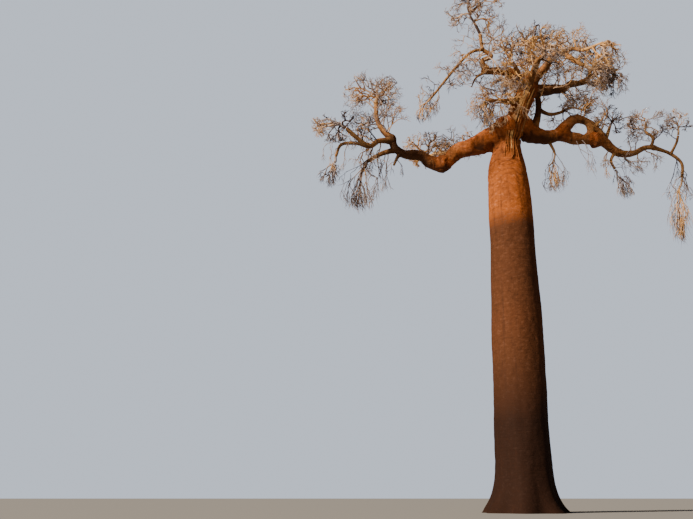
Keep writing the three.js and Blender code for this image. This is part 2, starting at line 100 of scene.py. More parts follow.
# The limbs, as in the part: what carries each one, the share of its carrier's length where it
# leaves, its radius at its root and at its tip, and the places that it bends through.
TAPER = 1.5
RINGS_PER_BEND = 2
LIMBS = {
    "left_arm": ("trunk", 0.7, 0.49, 0.22, [
        [-0.37, 0.02, 11.98], [-0.9, 0.14, 11.82], [-1.47, 0.28, 11.62], [-1.96, 0.36, 11.07]]),
    "left_forearm": ("left_arm", 0.94, 0.25, 0.12, [
        [-2.29, 0.3, 11.26], [-2.71, 0.15, 11.45], [-3.31, -0.15, 11.38], [-3.62, -0.35, 11.58],
        [-3.65, -0.4, 11.85]]),
    "left_riser": ("left_forearm", 0.97, 0.11, 0.075, [
        [-3.98, -0.45, 12.08], [-4.18, -0.42, 12.54], [-4.2, -0.36, 13.1]]),
    "left_outer": ("left_forearm", 0.93, 0.11, 0.065, [
        [-4.13, -0.6, 11.64], [-4.5, -0.8, 11.36], [-5.18, -1.15, 11.79]]),
    "left_low": ("left_outer", 0.66, 0.075, 0.05, [
        [-4.95, -0.7, 11.51], [-5.38, -0.55, 11.52], [-5.55, -0.45, 11.17]]),
    "left_droop": ("left_forearm", 0.72, 0.1, 0.06, [[-4.04, -0.12, 11.4], [-4.48, 0.1, 11.24]]),
    "left_stub": ("left_forearm", 0.64, 0.09, 0.04, [[-3.52, -0.26, 11.18], [-3.63, -0.28, 10.92]]),
    "right_arm": ("trunk", 0.745, 0.32, 0.17, [
        [1.1, 0.2, 12.3], [1.65, 0.3, 12.22], [2.2, 0.42, 12.34], [2.75, 0.54, 12.3],
        [3.2, 0.62, 12.3], [3.65, 0.72, 12.3]]),
    "right_forearm": ("right_arm", 0.9, 0.22, 0.08, [
        [3.75, 0.74, 12.3], [4.08, 0.82, 12.05], [4.42, 0.9, 11.9], [4.9, 1.0, 11.97],
        [5.35, 1.1, 12.22], [5.7, 1.1, 12.24]]),
    "right_arch": ("right_arm", 0.5, 0.25, 0.115, [
        [2.46, 0.5, 12.76], [2.84, 0.6, 13.07], [3.35, 0.66, 12.95], [3.78, 0.73, 12.5]]),
    "right_strut": ("right_arm", 0.82, 0.14, 0.115, [[3.34, 0.65, 12.65], [3.29, 0.65, 12.92]]),
    "right_tip": ("right_forearm", 0.97, 0.075, 0.045, [
        [6.25, 1.2, 12.05], [6.62, 1.2, 11.68], [6.58, 1.2, 11.15]]),
    "right_riser": ("right_forearm", 0.94, 0.06, 0.045, [[5.78, 1.3, 12.7], [5.62, 1.45, 13.02]]),
    "right_outer": ("right_tip", 0.36, 0.05, 0.04, [[6.4, 0.92, 12.3], [6.42, 0.75, 12.5]]),
    "right_sprout": ("right_forearm", 0.2, 0.08, 0.05, [[3.98, 0.82, 12.6], [4.1, 0.84, 12.9]]),
    "right_spur": ("right_arm", 0.34, 0.07, 0.04, [[1.85, 0.28, 11.8], [1.9, 0.28, 11.62]]),
    "right_droop": ("right_forearm", 0.4, 0.06, 0.04, [[4.02, 0.88, 11.62], [4.12, 0.88, 11.32]]),
    "side_stem": ("right_arm", 0.18, 0.15, 0.09, [
        [1.44, 0.27, 13.1], [1.47, 0.22, 13.7], [1.3, 0.1, 14.02]]),
    "right_bough": ("trunk", 0.94, 0.2, 0.09, [
        [1.6, 0.25, 13.98], [2.15, 0.55, 14.2], [2.65, 0.9, 14.45], [2.95, 1.1, 14.8],
        [3.5, 1.4, 15.0]]),
    "right_bough_end": ("right_bough", 0.96, 0.09, 0.06, [
        [4.05, 1.7, 15.5], [4.62, 1.95, 15.9], [4.95, 2.1, 15.85]]),
    "right_bough_riser": ("right_bough_end", 0.3, 0.06, 0.05, [
        [3.89, 1.6, 15.5], [3.95, 1.5, 15.65]]),
    "arch_bough": ("trunk", 0.96, 0.16, 0.07, [
        [1.56, -0.5, 14.42], [1.78, -0.9, 14.66], [2.0, -1.2, 14.6], [2.27, -1.5, 14.1],
        [2.5, -1.7, 13.8]]),
    "left_top_bough": ("trunk", 0.95, 0.26, 0.12, [
        [0.68, -0.2, 14.22], [0.22, -0.42, 14.36], [-0.58, -0.8, 14.14]]),
    "left_top_riser": ("left_top_bough", 0.95, 0.11, 0.06, [
        [-0.62, -0.9, 14.46], [-0.32, -0.92, 14.64], [-0.6, -1.0, 14.88], [-0.68, -1.1, 15.35]]),
    "left_long_bough": ("left_top_riser", 0.74, 0.06, 0.035, [
        [-1.06, -1.15, 14.62], [-1.6, -1.4, 13.92], [-2.04, -1.6, 13.25], [-2.33, -1.7, 12.82],
        [-2.5, -1.75, 12.58]]),
    "left_hook": ("left_top_bough", 0.93, 0.06, 0.02, [
        [-0.85, -0.95, 13.82], [-1.05, -1.0, 13.42]]),
    "low_left_bough": ("trunk", 0.87, 0.13, 0.06, [
        [0.3, -0.5, 13.16], [-0.15, -0.72, 13.06], [-0.55, -0.92, 12.92]]),
    "low_right_bough": ("side_stem", 0.42, 0.08, 0.05, [
        [1.9, 0.5, 13.22], [2.4, 0.9, 13.5], [2.75, 1.1, 13.75]]),
    "front_bough": ("trunk", 0.92, 0.16, 0.07, [
        [1.06, -0.7, 14.0], [1.1, -1.4, 14.12], [1.15, -2.0, 14.0]]),
    "front_left_bough": ("trunk", 0.9, 0.14, 0.07, [[0.68, -0.7, 13.9], [0.32, -1.5, 13.88]]),
    "front_right_bough": ("arch_bough", 0.6, 0.085, 0.06, [
        [2.21, -1.6, 14.48], [2.38, -1.95, 14.21]]),
    "back_bough": ("trunk", 0.94, 0.19, 0.08, [
        [1.2, 1.0, 14.25], [1.45, 2.0, 14.9], [1.35, 2.75, 15.45]]),
    "back_right_bough": ("trunk", 0.95, 0.17, 0.07, [
        [1.84, 1.0, 14.56], [2.9, 1.9, 15.13], [3.8, 2.35, 15.55], [4.3, 2.6, 15.75]]),
    "back_left_bough": ("trunk", 0.79, 0.2, 0.08, [
        [-0.3, 0.95, 12.5], [-1.1, 1.7, 12.35], [-1.8, 2.3, 12.55]]),
    "crown_top_bough": ("trunk", 0.965, 0.16, 0.075, [
        [1.3, 0.3, 14.6], [1.55, 0.35, 14.95], [1.45, 0.4, 15.2]]),
}

# How a shoot of a mass grows, as in the part.
CLEARANCE = 0.0004
SHOOT_STEPS = 4
KEEP = 0.55
AIM = 0.55
STRAY = 0.5
HANG = 0.22
TIP_SHARE = 0.35
TWIG_CLEARANCE = 0.004
TRIES = 4
PAST_MIDDLE = 0.25
FIRST_PER_METRE = 6.8
FIRST_RADIUS = 0.55
LOWEST_FORK = 0.1
HIGHEST_FORK = 0.85
OUTWARD = 0.96
SHORTEST = 0.6
SOONER = 0.6
THINNER = 0.3
CLOSER = 0.5
SPREAD_RISE = 0.7548777
SPREAD_TURN = 0.5698403
FIRST_SEED_STEP = 0.37
RETRY_SEED_STEP = 0.011
SIDE_SEED_SHARE = 3.1
SIDE_SEED_STEP = 1.7
SIDE_TWIGS = 2
SIDE_RADIUS = 0.62
SHORTER = 0.6
SPLAY = 1.1
NEAREST = 0.4
FARTHEST = 0.9

# Which draw of a seed gives what: the first three as in the part.
RISE_DRAW = 90
TURN_DRAW = 91
REACH_DRAW = 100
ASIDE_DRAW = 50
LIMIT_DRAW = 9
SHARE_DRAW = 60
LENGTH_DRAW = 61
STRAND_DRAW = 70
SPRAY_DRAW = 7
TINT_DRAW = 8

# The masses of twigs, as in the part: the limb whose tip carries each one, the middle of its
# egg-shaped space, the half sizes of that space, how much its twigs hang, and its seed.
MASSES = {
    "left_riser_twigs": ("left_riser", [-4.33, -0.3, 13.71], [1.15, 0.8, 0.6], 0, 11),
    "left_outer_twigs": ("left_outer", [-5.6, -1.3, 11.78], [0.85, 0.8, 0.5], 0, 12),
    "left_low_twigs": ("left_low", [-5.78, -0.35, 10.74], [0.5, 0.5, 0.55], 0.5, 13),
    "left_droop_twigs": ("left_droop", [-4.64, 0.25, 10.58], [0.98, 0.75, 0.88], 1, 14),
    "right_tip_twigs": ("right_tip", [6.26, 1.2, 10.13], [0.46, 0.42, 1.25], 1, 15),
    "right_riser_twigs": ("right_riser", [5.7, 1.5, 13.35], [0.9, 0.8, 0.55], 0, 16),
    "right_outer_twigs": ("right_outer", [6.4, 0.7, 12.95], [0.55, 0.6, 0.55], 0, 17),
    "right_sprout_twigs": ("right_sprout", [4.4, 0.9, 13.25], [0.8, 0.7, 0.55], 0, 18),
    "right_droop_twigs": ("right_droop", [4.4, 0.9, 11.0], [0.62, 0.5, 0.65], 1, 19),
    "right_hanging_twigs": ("right_spur", [1.75, 0.3, 11.1], [0.7, 0.45, 0.75], 1, 34),
    "right_bough_twigs": ("right_bough_end", [4.96, 2.2, 15.56], [0.66, 0.7, 0.62], 0.5, 20),
    "right_top_twigs": ("right_bough_riser", [3.83, 1.4, 16.23], [1.05, 0.8, 0.58], 0, 21),
    "arch_twigs": ("arch_bough", [2.97, -1.95, 13.36], [0.56, 0.6, 0.42], 0.3, 22),
    "top_left_twigs": ("left_top_riser", [-0.9, -1.1, 16.5], [1.1, 0.95, 1.2], 0, 23),
    "long_bough_twigs": ("left_long_bough", [-2.68, -1.8, 12.23], [0.44, 0.42, 0.45], 0.7, 24),
    "low_left_twigs": ("low_left_bough", [-0.5, -0.95, 12.65], [0.85, 0.6, 0.75], 0.5, 25),
    "low_right_twigs": ("low_right_bough", [3.3, 1.3, 14.11], [0.76, 0.62, 0.45], 0, 26),
    "front_twigs": ("front_bough", [1.05, -2.75, 13.95], [0.95, 0.9, 0.55], 0, 27),
    "front_left_twigs": ("front_left_bough", [0.1, -2.4, 13.85], [0.8, 0.8, 0.55], 0, 28),
    "front_right_twigs": ("front_right_bough", [2.85, -2.4, 13.66], [0.75, 0.7, 0.42], 0, 29),
    "back_twigs": ("back_bough", [1.5, 3.4, 16.3], [1.1, 0.95, 0.7], 0, 30),
    "back_right_twigs": ("back_right_bough", [4.91, 3.1, 16.28], [0.9, 0.85, 0.6], 0, 31),
    "back_left_twigs": ("back_left_bough", [-2.2, 2.8, 13.0], [1.05, 0.95, 0.7], 0, 32),
    "crown_top_twigs": ("crown_top_bough", [1.6, 0.4, 15.95], [1.35, 1.15, 0.7], 0, 33),
}

# The turn of the noise's lattice, which keeps its edges off the axes.
LATTICE_TURN = np.array(Euler((0.7, 0.5, 0.9)).to_matrix())

# The bark's mesh. The trunk's own grid goes up to the split and a little above, where it tucks in
# under one skin that covers the trunk's top and the thick limbs. Its relief fades to a plain foot.
SPLIT = 9.3
SPLIT_LAP = 0.4
TRUNK_SAMPLES = 4000
TRUNK_SIDES = 240
TRUNK_ROWS = 300
TUCKED_IN = 0.06
TUCK_HEIGHT = 0.1
PLAIN_FOOT = 0.15
SKIN_SIZE = 0.029
THICK = 0.135
TOP_STEP = 0.12

# The tubes of the limbs: their steps and sides, the collar where each leaves its carrier, and the
# rounded cap on its tip.
STEPS_PER_BEND = 10
SIDES_PER_METRE = 150
FEWEST_SIDES = 14
MOST_SIDES = 60
COLLAR = 0.3
COLLAR_START = 0.8
COLLAR_LENGTH = 0.7
CAP_RINGS = 4
CAP_REACH = 0.6

# How the skin is smoothed: rounds and weight all over, then where two of its tubes meet within a
# gap. Then the gap over which a limb's relief gives way to the trunk's, and how far the skin's end
# below the split draws in.
SMOOTHING = (3, 0.5)
MEETING_SMOOTHING = (14, 0.6)
MEETING_GAP = 0.14
RELIEF_GAP = 0.12
END_SHARE = 0.95

# The noises of the trunk's relief: how wide each goes round, how fast it goes up, and its shift.
BROAD_LUMPS = (1.6, 0.9, 0)
UPRIGHT_FLUTES = (3.4, 0.16, 7)
LEVEL_CREASES = (1.3, 6, 31)
SMALL_LUMPS = (6, 6, 53)
ROPES = (3.8, 0.7, 11)

# Heights between which a kind of relief sets in or ends.
FLUTES_END = (3.5, 8.0)
CREASES_START = (9.4, 10.6)
CREASES_END = (11.5, 12.0)
NECK = (10.9, 12.0)
STRANDED = (11.4, 12.0)

# The creases' least strength, edge and waver, the small lumps' height, how the ropes wind up the
# neck, and above which value of their noise they stand out, or leave gaps that are darkened by
# painted shade.
LEAST_CREASED = 0.3
CREASE_EDGE = 0.84
CREASE_WAVER = 2
SMALL_HEIGHT = 0.006
WIND_HEIGHT = 11
WIND = 0.25
WIND_WAVER = 0.4
ROPE_LEVEL = 0.75
GAP_LEVEL = 0.78
GAP_SHADE = 1.8

# Painted shade on the front of the neck, behind the strands: the angles over which it sets in and
# ends, how dark it and the painted shade in the creases are, and how dark the painted shade can be
# at most.
FRONT_START = (-1.9, -1.6)
FRONT_END = (-0.5, -0.2)
FRONT_SHADE = 0.5
CREASE_SHADE = 0.4
DARKEST_SHADE = 0.9

# The limbs' relief: how fine its noises are and their shifts, how fast its rings follow one
# another, and the share of the radius that each kind stands out.
LIMB_LUMPS = (2.9, 17)
LIMB_KNOTS = (8.0, 5)
RINGS_PER_METRE = 4.5
RING_WAVER = 1.5
RING_TILT = 0.8
RING_EDGE = 0.86
LUMP_SHARE = 0.13
KNOT_SHARE = 0.07
RING_SHARE = 0.06

# How dark the painted shade on the limbs is: in the rings' creases, on the undersides, in the dips
# and in the painted shadows.
UNDERSIDE = (0.1, 0.9)
RING_SHADE = 0.4
UNDER_SHADE = 0.55
DIP_SHADE = 0.25
PAINTED_SHADOW_DARK = 0.85

# A limb's bark is young where it is thin.
YOUNGEST = 1.15
OLD_RADIUS = 0.26
AGE_WAVER = 0.2

# Colours up the trunk: each height and the setting that gives the colour there, the height that
# fills the scale, how much the heights waver, and where the foot's plain colour gives way. The
# foot's colour is the bark's brown darkened by painted shade.
BAND_TOP = 14
BAND_WAVER = 0.9
FOOT_FADE = (2.6, 5.4)
BARK_STOPS = [
    (3.0, "shaded_foot_colour"), (5.1, "shoulder_colour"), (6.2, "middle_colour"),
    (7.4, "shoulder_colour"), (9.15, "shoulder_colour"), (9.65, "old_colour"),
]

# The bark's textures: how each is stretched, its detail and roughness, and how fine it is.
BARK_TEXTURES = {
    "patches": ((1, 1, 0.6), 5, 0.6, 1.1),
    "streaks": ((6, 6, 0.35), 4, 0.6, 1.0),
    "wrinkles": ((1.0, 1.0, 11), 5, 0.65, 1.4),
    "mottle": ((1, 1, 1.4), 6, 0.7, 8),
    "grain": ((1, 1, 1), 4, 0.6, 60),
}

# The layers of the bark's colour: between which values of its texture each sets in, and how much
# it covers.
BARK_LAYERS = {
    "warm": (0.45, 0.62, 0.3),
    "browned": (0.52, 0.36, 0.4),
    "mottled": (0.52, 0.72, 0.6),
    "paled": (0.47, 0.30, 0.5),
    "streaked": (0.54, 0.72, 0.5),
    "creased": (0.56, 0.72, 0.35),
}
PALE = {"Saturation": 0.85, "Value": 2.0}

# The finishes: roughness, and the strength and distance of each bump.
BARK_ROUGHNESS = (0.75, 0.95)
COARSE_BUMP = (0.6, 0.03)
FINE_BUMP = (0.4, 0.008)
TWIG_TEXTURE = {"Scale": 14, "Detail": 3}
TWIG_TEXTURE_RANGE = (0.3, 0.7)
TWIG_LIGHTNESS = (0.7, 1.3)
TWIG_ROUGHNESS = 0.85
TWIG_BUMP = (0.4, 0.004)
BARK_SPECULAR = 0.2
FLOOR_ROUGHNESS = 0.9
FARTHEST_SEEN = 1000

# Painted shadows on the limbs, where they lie in shade: the middle of each, and how far it reaches.
PAINTED_SHADOWS = [
    ([-2.8, 0.1, 11.45], 0.48), ([-3.35, -0.2, 11.45], 0.42), ([-3.62, -0.38, 11.75], 0.28),
    ([-1.75, 0.1, 10.9], 0.22), ([0.95, 0.1, 12.05], 0.3), ([1.5, 0.15, 12.0], 0.25),
    ([1.6, 0.2, 13.9], 0.3), ([2.2, 0.5, 14.15], 0.35), ([1.4, 0.25, 13.0], 0.3),
    ([1.46, 0.22, 13.5], 0.3),
]

# The strands that run down the neck, between the arms: their number, and the angles round the
# trunk between which they lie at the front and at the back, the heights between which they start,
# end and turn golden, how they wander, and how far they lie out from the trunk at most.
STRANDS = 42
STRAND_POINTS = 44
STRAND_SIDES = 8
STRAND_SEED = 1.3
FRONT_STRANDS = (math.radians(-112), math.radians(-42))
BACK_STRANDS = (math.radians(45), math.radians(115))
STRAND_STARTS = (13.0, 13.95)
STRAND_ENDS = (10.9, 12.3)
GOLDEN_FROM = (11.4, 14.2)
STRAND_WANDER = 0.16
WANDER_SIZE = (9, 0.9)
THINNEST_STRAND = 0.5
STRAND_END = 0.4
STRAND_PROUD = 0.35
STRAND_AGE = 0.25
STRAND_ROUNDS = 3
FARTHEST_STRAND = 0.16

# How a strand finds the skin: the reach that it starts from, its steps, and the share of the gap
# that each step takes.
SEARCH_REACH = 1.3
SEARCH_STEPS = 24
SEARCH_SHARE = 0.9
SEARCH_ROWS = 40

# The finer twigs. Each level grows from the one before: how many on each carrier, the sides of a
# twig, every how many points of its shoot its mesh uses, its least radius, and how far the longest
# reach beyond the space. A small mass has sparser ones, and one that hangs has long threads, which
# fall.
COARSE_SIDES = 6
FINE_LEVELS = [(3, 4, 1, 0.013, 1.06), (4, 3, 1, 0.010, 1.12), (3, 3, 2, 0.0078, 1.3)]
SPARSE_LEVELS = [(3, 4, 1, 0.011, 1.06), (3, 3, 1, 0.009, 1.12), (3, 3, 2, 0.0075, 1.25)]
THREAD_LEVELS = [(2, 4, 1, 0.010, 1.1), (3, 3, 1, 0.0085, 1.25), (2, 3, 2, 0.007, 1.4)]
SPARSE_SIZE = 0.7
THREAD_LENGTH = 1.0
THREAD_FALL = 1.3
LEAST_REACH = 0.84
PAST_BOX = 0.1
NEAR_MARGIN = 1.5
NEAR_REACH = 0.1

# The tints: the share of each near the trunk's top and far from it, how far off that is, and how
# much more of the golden one there is close to it.
TINTS = {"golden": (0.4, 0.16), "tan": (0.3, 0.26), "grey": (0.18, 0.33), "dark": (0.12, 0.25)}
FAR_TINTS = (1.0, 3.5)
CLOSE_TINTS = (0.5, 1.3)
CLOSE_GOLDEN = 1.5
SPRAY_STEP = 0.61
TINT_STRAY = 0.25

# Shoots along the limbs: their seeds, how far along the limb they lean, their least and most
# length and radius against the limb's, their sides, and the round space of each.
SHOOT_SEED = 40
LIMB_SEED_STEP = 7.3
SHOOT_PLACES = 20
SHOOT_LEAN = 0.4
SHOOT_LENGTHS = (0.7, 1.25)
SHOOT_RADII = (0.014, 0.028)
SHOOT_RADIUS = 0.4
SHOOT_THINNER = 0.35
SHOOT_SIDES = 5
SHOOT_MIDDLE = 0.6
SHOOT_SPACE = 0.8
SHOOT_LIMIT = 1.2

# Shoots on usual limbs and on some others: the shares of the limb's length between which they
# leave it, how many there are on a metre, their length, how much they hang, and how much they turn
# up or down.
USUAL_SHOOTS = (0.25, 0.98, 4.5, 0.62, 0.0, 0.25)
SHOOTS = {
    "trunk": (0.84, 0.985, 16, 0.5, 0.9, -0.5),
    "left_top_bough": (0.05, 0.95, 7, 0.5, 0.9, -0.5),
    "low_left_bough": (0.1, 0.98, 12, 0.65, 0.4, 0.0),
    "left_hook": (0.2, 0.9, 7, 0.6, 0.0, 0.0),
    "low_right_bough": (0.5, 1.0, 9, 0.75, 0.3, 0.0),
    "front_left_bough": (0.1, 0.98, 7, 0.5, 0.3, 0.1),
    "left_arm": (0.62, 0.95, 5, 0.5, 0.0, 1.2),
    "left_forearm": (0.7, 1.0, 8, 0.65, 0.0, 0.6),
    "left_stub": (0.5, 0.9, 4, 0.4, 1.0, -0.5),
    "left_riser": (0.1, 0.98, 10, 0.9, 0.0, 0.3),
    "left_outer": (0.2, 0.98, 7, 0.7, 0.2, 0.0),
    "left_low": (0.2, 0.98, 5, 0.7, 1.0, -0.8),
    "left_droop": (0.2, 0.98, 6, 0.9, 1.0, -0.8),
    "right_arm": (0.12, 0.9, 2.6, 0.95, 1.0, -1.4),
    "right_forearm": (0.1, 0.97, 6, 0.7, 0.3, 0.1),
    "right_arch": (0.4, 0.95, 4.5, 0.7, 0.0, 1.0),
    "right_tip": (0.4, 1.0, 8, 0.85, 0.7, -0.6),
    "right_spur": (0.3, 0.98, 6, 0.7, 1.0, -0.8),
    "right_droop": (0.3, 0.98, 6, 0.7, 1.0, -0.8),
    "left_long_bough": (0.2, 0.98, 4, 0.6, 0.2, 0.0),
    "left_top_riser": (0.2, 0.98, 10, 1.0, 0.0, 0.0),
    "right_bough_end": (0.1, 0.98, 8, 0.7, 0.0, 0.6),
    "right_bough_riser": (0.2, 0.98, 18, 0.8, 0.0, 0.6),
    "front_right_bough": (0.3, 0.98, 8, 0.6, 0.0, 0.5),
}


class BarkSettings(PropertyGroup):
    """Colours and relief of the bark."""

    old_colour: FloatVectorProperty(
        name="Old bark", description="Colour of the sunlit bark of the trunk's top and main boughs",
        subtype="COLOR", min=0, max=1, default=(0.41, 0.106, 0.0165))
    shoulder_colour: FloatVectorProperty(
        name="Under the shoulder", description="Browner colour under the ring below the shoulder",
        subtype="COLOR", min=0, max=1, default=(0.088, 0.029, 0.0098))
    middle_colour: FloatVectorProperty(
        name="Middle", description="Colour of the trunk half way up",
        subtype="COLOR", min=0, max=1, default=(0.112, 0.036, 0.012))
    # The foot: the bark's brown, darkened by painted shade.
    shaded_foot_colour: FloatVectorProperty(
        name="Foot", description="Dark colour of the trunk's foot",
        subtype="COLOR", min=0, max=1, default=(0.021, 0.0066, 0.0024))
    young_colour: FloatVectorProperty(
        name="Young bark", description="Paler colour of the outer boughs",
        subtype="COLOR", min=0, max=1, default=(0.42, 0.22, 0.08))
    # The dark colour of the mottle, streaks and wrinkles, and of the painted shade.
    dark_and_shade_colour: FloatVectorProperty(
        name="Hollows", description="Colour in the wrinkles and between the strands",
        subtype="COLOR", min=0, max=1, default=(0.035, 0.012, 0.005))
    wrinkle_height: FloatProperty(
        name="Wrinkles", description="Height of the level wrinkles on the trunk",
        unit="LENGTH", default=0.012)
    lump_height: FloatProperty(
        name="Lumps", description="Height of the broad lumps on the trunk",
        unit="LENGTH", default=0.03)
    flute_height: FloatProperty(
        name="Flutes", description="Depth of the upright flutes on the lower trunk",
        unit="LENGTH", default=0.03)
    strand_height: FloatProperty(
        name="Strand relief", description="Height of the ropy relief on the neck",
        unit="LENGTH", default=0.05)
    strand_radius: FloatProperty(
        name="Strands", description="Radius of the strands at the neck's top",
        unit="LENGTH", default=0.03)


class TwigSettings(PropertyGroup):
    """Sizes and colours of the twigs."""

    thickness: FloatProperty(
        name="Thickness", description="How thick the finer twigs are, against the usual",
        default=1)
    golden_colour: FloatVectorProperty(
        name="Golden twigs", description="Colour of the warmest sprays",
        subtype="COLOR", min=0, max=1, default=(0.64, 0.355, 0.135))
    tan_colour: FloatVectorProperty(
        name="Tan twigs", description="Colour of most sprays",
        subtype="COLOR", min=0, max=1, default=(0.56, 0.37, 0.235))
    grey_colour: FloatVectorProperty(
        name="Grey twigs", description="Colour of the sprays with old, weathered bark",
        subtype="COLOR", min=0, max=1, default=(0.38, 0.31, 0.30))
    dark_colour: FloatVectorProperty(
        name="Dark twigs", description="Colour of the darkest sprays",
        subtype="COLOR", min=0, max=1, default=(0.09, 0.055, 0.045))


class StageSettings(PropertyGroup):
    """The floor, the light and the camera."""

    floor_size: FloatProperty(
        name="Floor size", description="Length of the floor's side", unit="LENGTH", default=600)
    floor_colour: FloatVectorProperty(
        name="Floor", description="Colour of the floor", subtype="COLOR", min=0, max=1,
        default=(0.42, 0.41, 0.40))
    sky_colour: FloatVectorProperty(
        name="Surroundings", description="Colour of the plain surroundings", subtype="COLOR",
        min=0, max=1, default=(0.78, 0.86, 1.0))
    sky_strength: FloatProperty(
        name="Backdrop", description="Brightness of the surroundings as seen", default=0.85)
    fill_strength: FloatProperty(
        name="Fill", description="Brightness of the light from all round", default=0.06)
    key_strength: FloatProperty(
        name="Key", description="Brightness of the key light", default=7.0)
    key_colour: FloatVectorProperty(
        name="Key colour", description="Colour of the key light", subtype="COLOR", min=0, max=1,
        default=(1.0, 0.86, 0.68))
    key_angle: FloatProperty(
        name="Key softness", description="Angle that the key light fills", subtype="ANGLE",
        default=math.radians(9))
    key_side: FloatProperty(
        name="Key side", description="How far left of the camera's back the key light stands",
        subtype="ANGLE", default=math.radians(56))
    key_rise: FloatProperty(
        name="Key height", description="How high the key light stands",
        subtype="ANGLE", default=math.radians(23))
    camera_place: FloatVectorProperty(
        name="Camera", description="Where the camera stands", subtype="TRANSLATION",
        unit="LENGTH", default=(-5.2, -23.0, 0.43))
    camera_tilt: FloatProperty(
        name="Camera tilt", description="How far the camera looks up", subtype="ANGLE",
        default=math.radians(17.6))
    focal_pixels: IntProperty(
        name="Focal length in pixels", description="Focal length at the photograph's width",
        default=750)
    photo_width: IntProperty(
        name="Width in pixels", description="The photograph's width", default=693)


class BaobabSettings(PropertyGroup):
    """All settings of the baobab tree."""

    bark: PointerProperty(type=BarkSettings)
    twigs: PointerProperty(type=TwigSettings)
    stage: PointerProperty(type=StageSettings)


def mix(a, b, share):
    """Value between a and b at a share."""
    return a + (b - a) * share


def smoothstep(low, high, values):
    """0 below low, 1 above high, and a smooth rise between."""
    t = np.clip((values - low) / (high - low), 0, 1)
    return t * t * (3 - 2 * t)


def unit(vectors):
    """Vectors scaled to length 1."""
    length = np.linalg.norm(vectors, axis=-1, keepdims=True)
    return vectors / np.maximum(length, 1e-12)


def draw(seed, number):
    """Share from 0 to 1 that depends only on a seed and a number: the fraction of a large sine."""
    value = np.sin(np.asarray(seed) * 12.9898 + number * 78.233) * 43758.5453
    return value - np.floor(value)


def lattice(corners):
    """Share from 0 to 1 for each whole-numbered corner of a lattice: a large sine's fraction."""
    mixed = corners @ np.array([127.1, 311.7, 74.7])
    value = np.sin(mixed) * 43758.5453
    return value - np.floor(value)


def noise(places):
    """Smooth noise from -1 to 1: lattice values blended by smooth weights in three directions. The
    lattice is turned, so that no edge of it lies along an axis."""
    places = places @ LATTICE_TURN
    base = np.floor(places)
    part = places - base
    weight = part * part * (3 - 2 * part)
    total = np.zeros(places.shape[:-1])
    for corner in np.ndindex(2, 2, 2):
        share = np.prod(np.where(np.array(corner) == 1, weight, 1 - weight), axis=-1)
        total += share * lattice(base + np.array(corner))
    return 2 * total - 1


def ridges(places):
    """Sharp ridges from 0 to 1: one less the absolute noise."""
    return 1 - np.abs(noise(places))


def spline(stations, shares):
    """Smooth line through stations: a cubic between each two, with half the chord as slope."""
    points = np.asarray(stations, float)
    spans = len(points) - 1
    padded = np.vstack([2 * points[0] - points[1], points, 2 * points[-1] - points[-2]])
    t = np.asarray(shares) * spans
    k = np.minimum(t.astype(int), spans - 1)
    w = (t - k)[:, None]
    before, start, end, after = padded[k], padded[k + 1], padded[k + 2], padded[k + 3]
    slope, next_slope = (end - before) / 2, (after - start) / 2
    cubic = 2 * start - 2 * end + slope + next_slope
    square = -3 * start + 3 * end - 2 * slope - next_slope
    return ((cubic * w + square) * w + slope) * w + start


def along(lines, shares):
    """Place and heading at a share of each line: lines is (n, k, 3), and shares is (n,)."""
    t = np.asarray(shares) * (lines.shape[1] - 1)
    k = np.minimum(t.astype(int), lines.shape[1] - 2)
    row = np.arange(len(lines))
    start, end = lines[row, k], lines[row, k + 1]
    return mix(start, end, (t - k)[:, None]), unit(end - start)


Chain = namedtuple("Chain", "points radii")
Line = namedtuple("Line", "points radii runs")


def limb_shares(name, count):
    """Points and radii of a limb at evenly spaced shares of its smooth line."""
    carrier, share, root, tip, bends = LIMBS[name]
    start = along(CHAINS[carrier].points[None], np.array([share]))[0][0]
    shares = np.linspace(0, 1, count + 1)
    return Chain(spline([start, *bends], shares), mix(tip, root, (1 - shares) ** TAPER))


CHAINS = {"trunk": Chain(np.array(TRUNK, float)[:, :3], np.array(TRUNK)[:, 3])}
for limb_name, limb in LIMBS.items():
    CHAINS[limb_name] = limb_shares(limb_name, len(limb[4]) * RINGS_PER_BEND)


def runs_along(points):
    """Length from the first point to each point of a line."""
    return np.append(0, np.cumsum(np.linalg.norm(np.diff(points, axis=0), axis=1)))


def trunk_line(heights):
    """The trunk's smooth line at some heights."""
    dense = spline(TRUNK, np.linspace(0, 1, TRUNK_SAMPLES))
    centre = np.stack([np.interp(heights, dense[:, 2], dense[:, axis]) for axis in range(3)], -1)
    return Line(centre, np.interp(heights, dense[:, 2], dense[:, 3]), runs_along(centre))


def limb_line(name):
    """A limb's smooth line, with radii that swell where it leaves its carrier: 1 and a collar that
    fades as the exponential of the run beyond the carrier's skin."""
    carrier, share, root = LIMBS[name][:3]
    line = limb_shares(name, len(LIMBS[name][4]) * STEPS_PER_BEND)
    runs = runs_along(line.points)
    carrier_radii = CHAINS[carrier].radii
    inside = np.interp(share, np.linspace(0, 1, len(carrier_radii)), carrier_radii)
    beyond = np.clip(runs - COLLAR_START * inside, 0, None)
    radii = line.radii * (1 + COLLAR * np.exp(-beyond / (COLLAR_LENGTH * root)))
    return Line(line.points, radii, runs)


def side_vectors(tangents):
    """Two vectors square to each tangent, the first as near as can be to the direction that the
    whole line runs along least, so that the rings don't turn. tangents is (n, k, 3)."""
    least = np.linalg.svd(tangents)[2][:, -1:, :]
    side = unit(least - tangents * np.sum(least * tangents, axis=-1, keepdims=True))
    return side, np.cross(tangents, side)


def ring_vertices(points, radii, sides):
    """Rings of a tube: centre + radius (side cos a + across sin a), for a round the circle."""
    padded = np.concatenate([points[:, :1], points, points[:, -1:]], axis=1)
    side, across = side_vectors(unit(padded[:, 2:] - padded[:, :-2]))
    angle = (np.arange(sides) * (2 * math.pi / sides))[:, None]
    circle = side[:, :, None] * np.cos(angle) + across[:, :, None] * np.sin(angle)
    return points[:, :, None] + circle * radii[..., None, None]


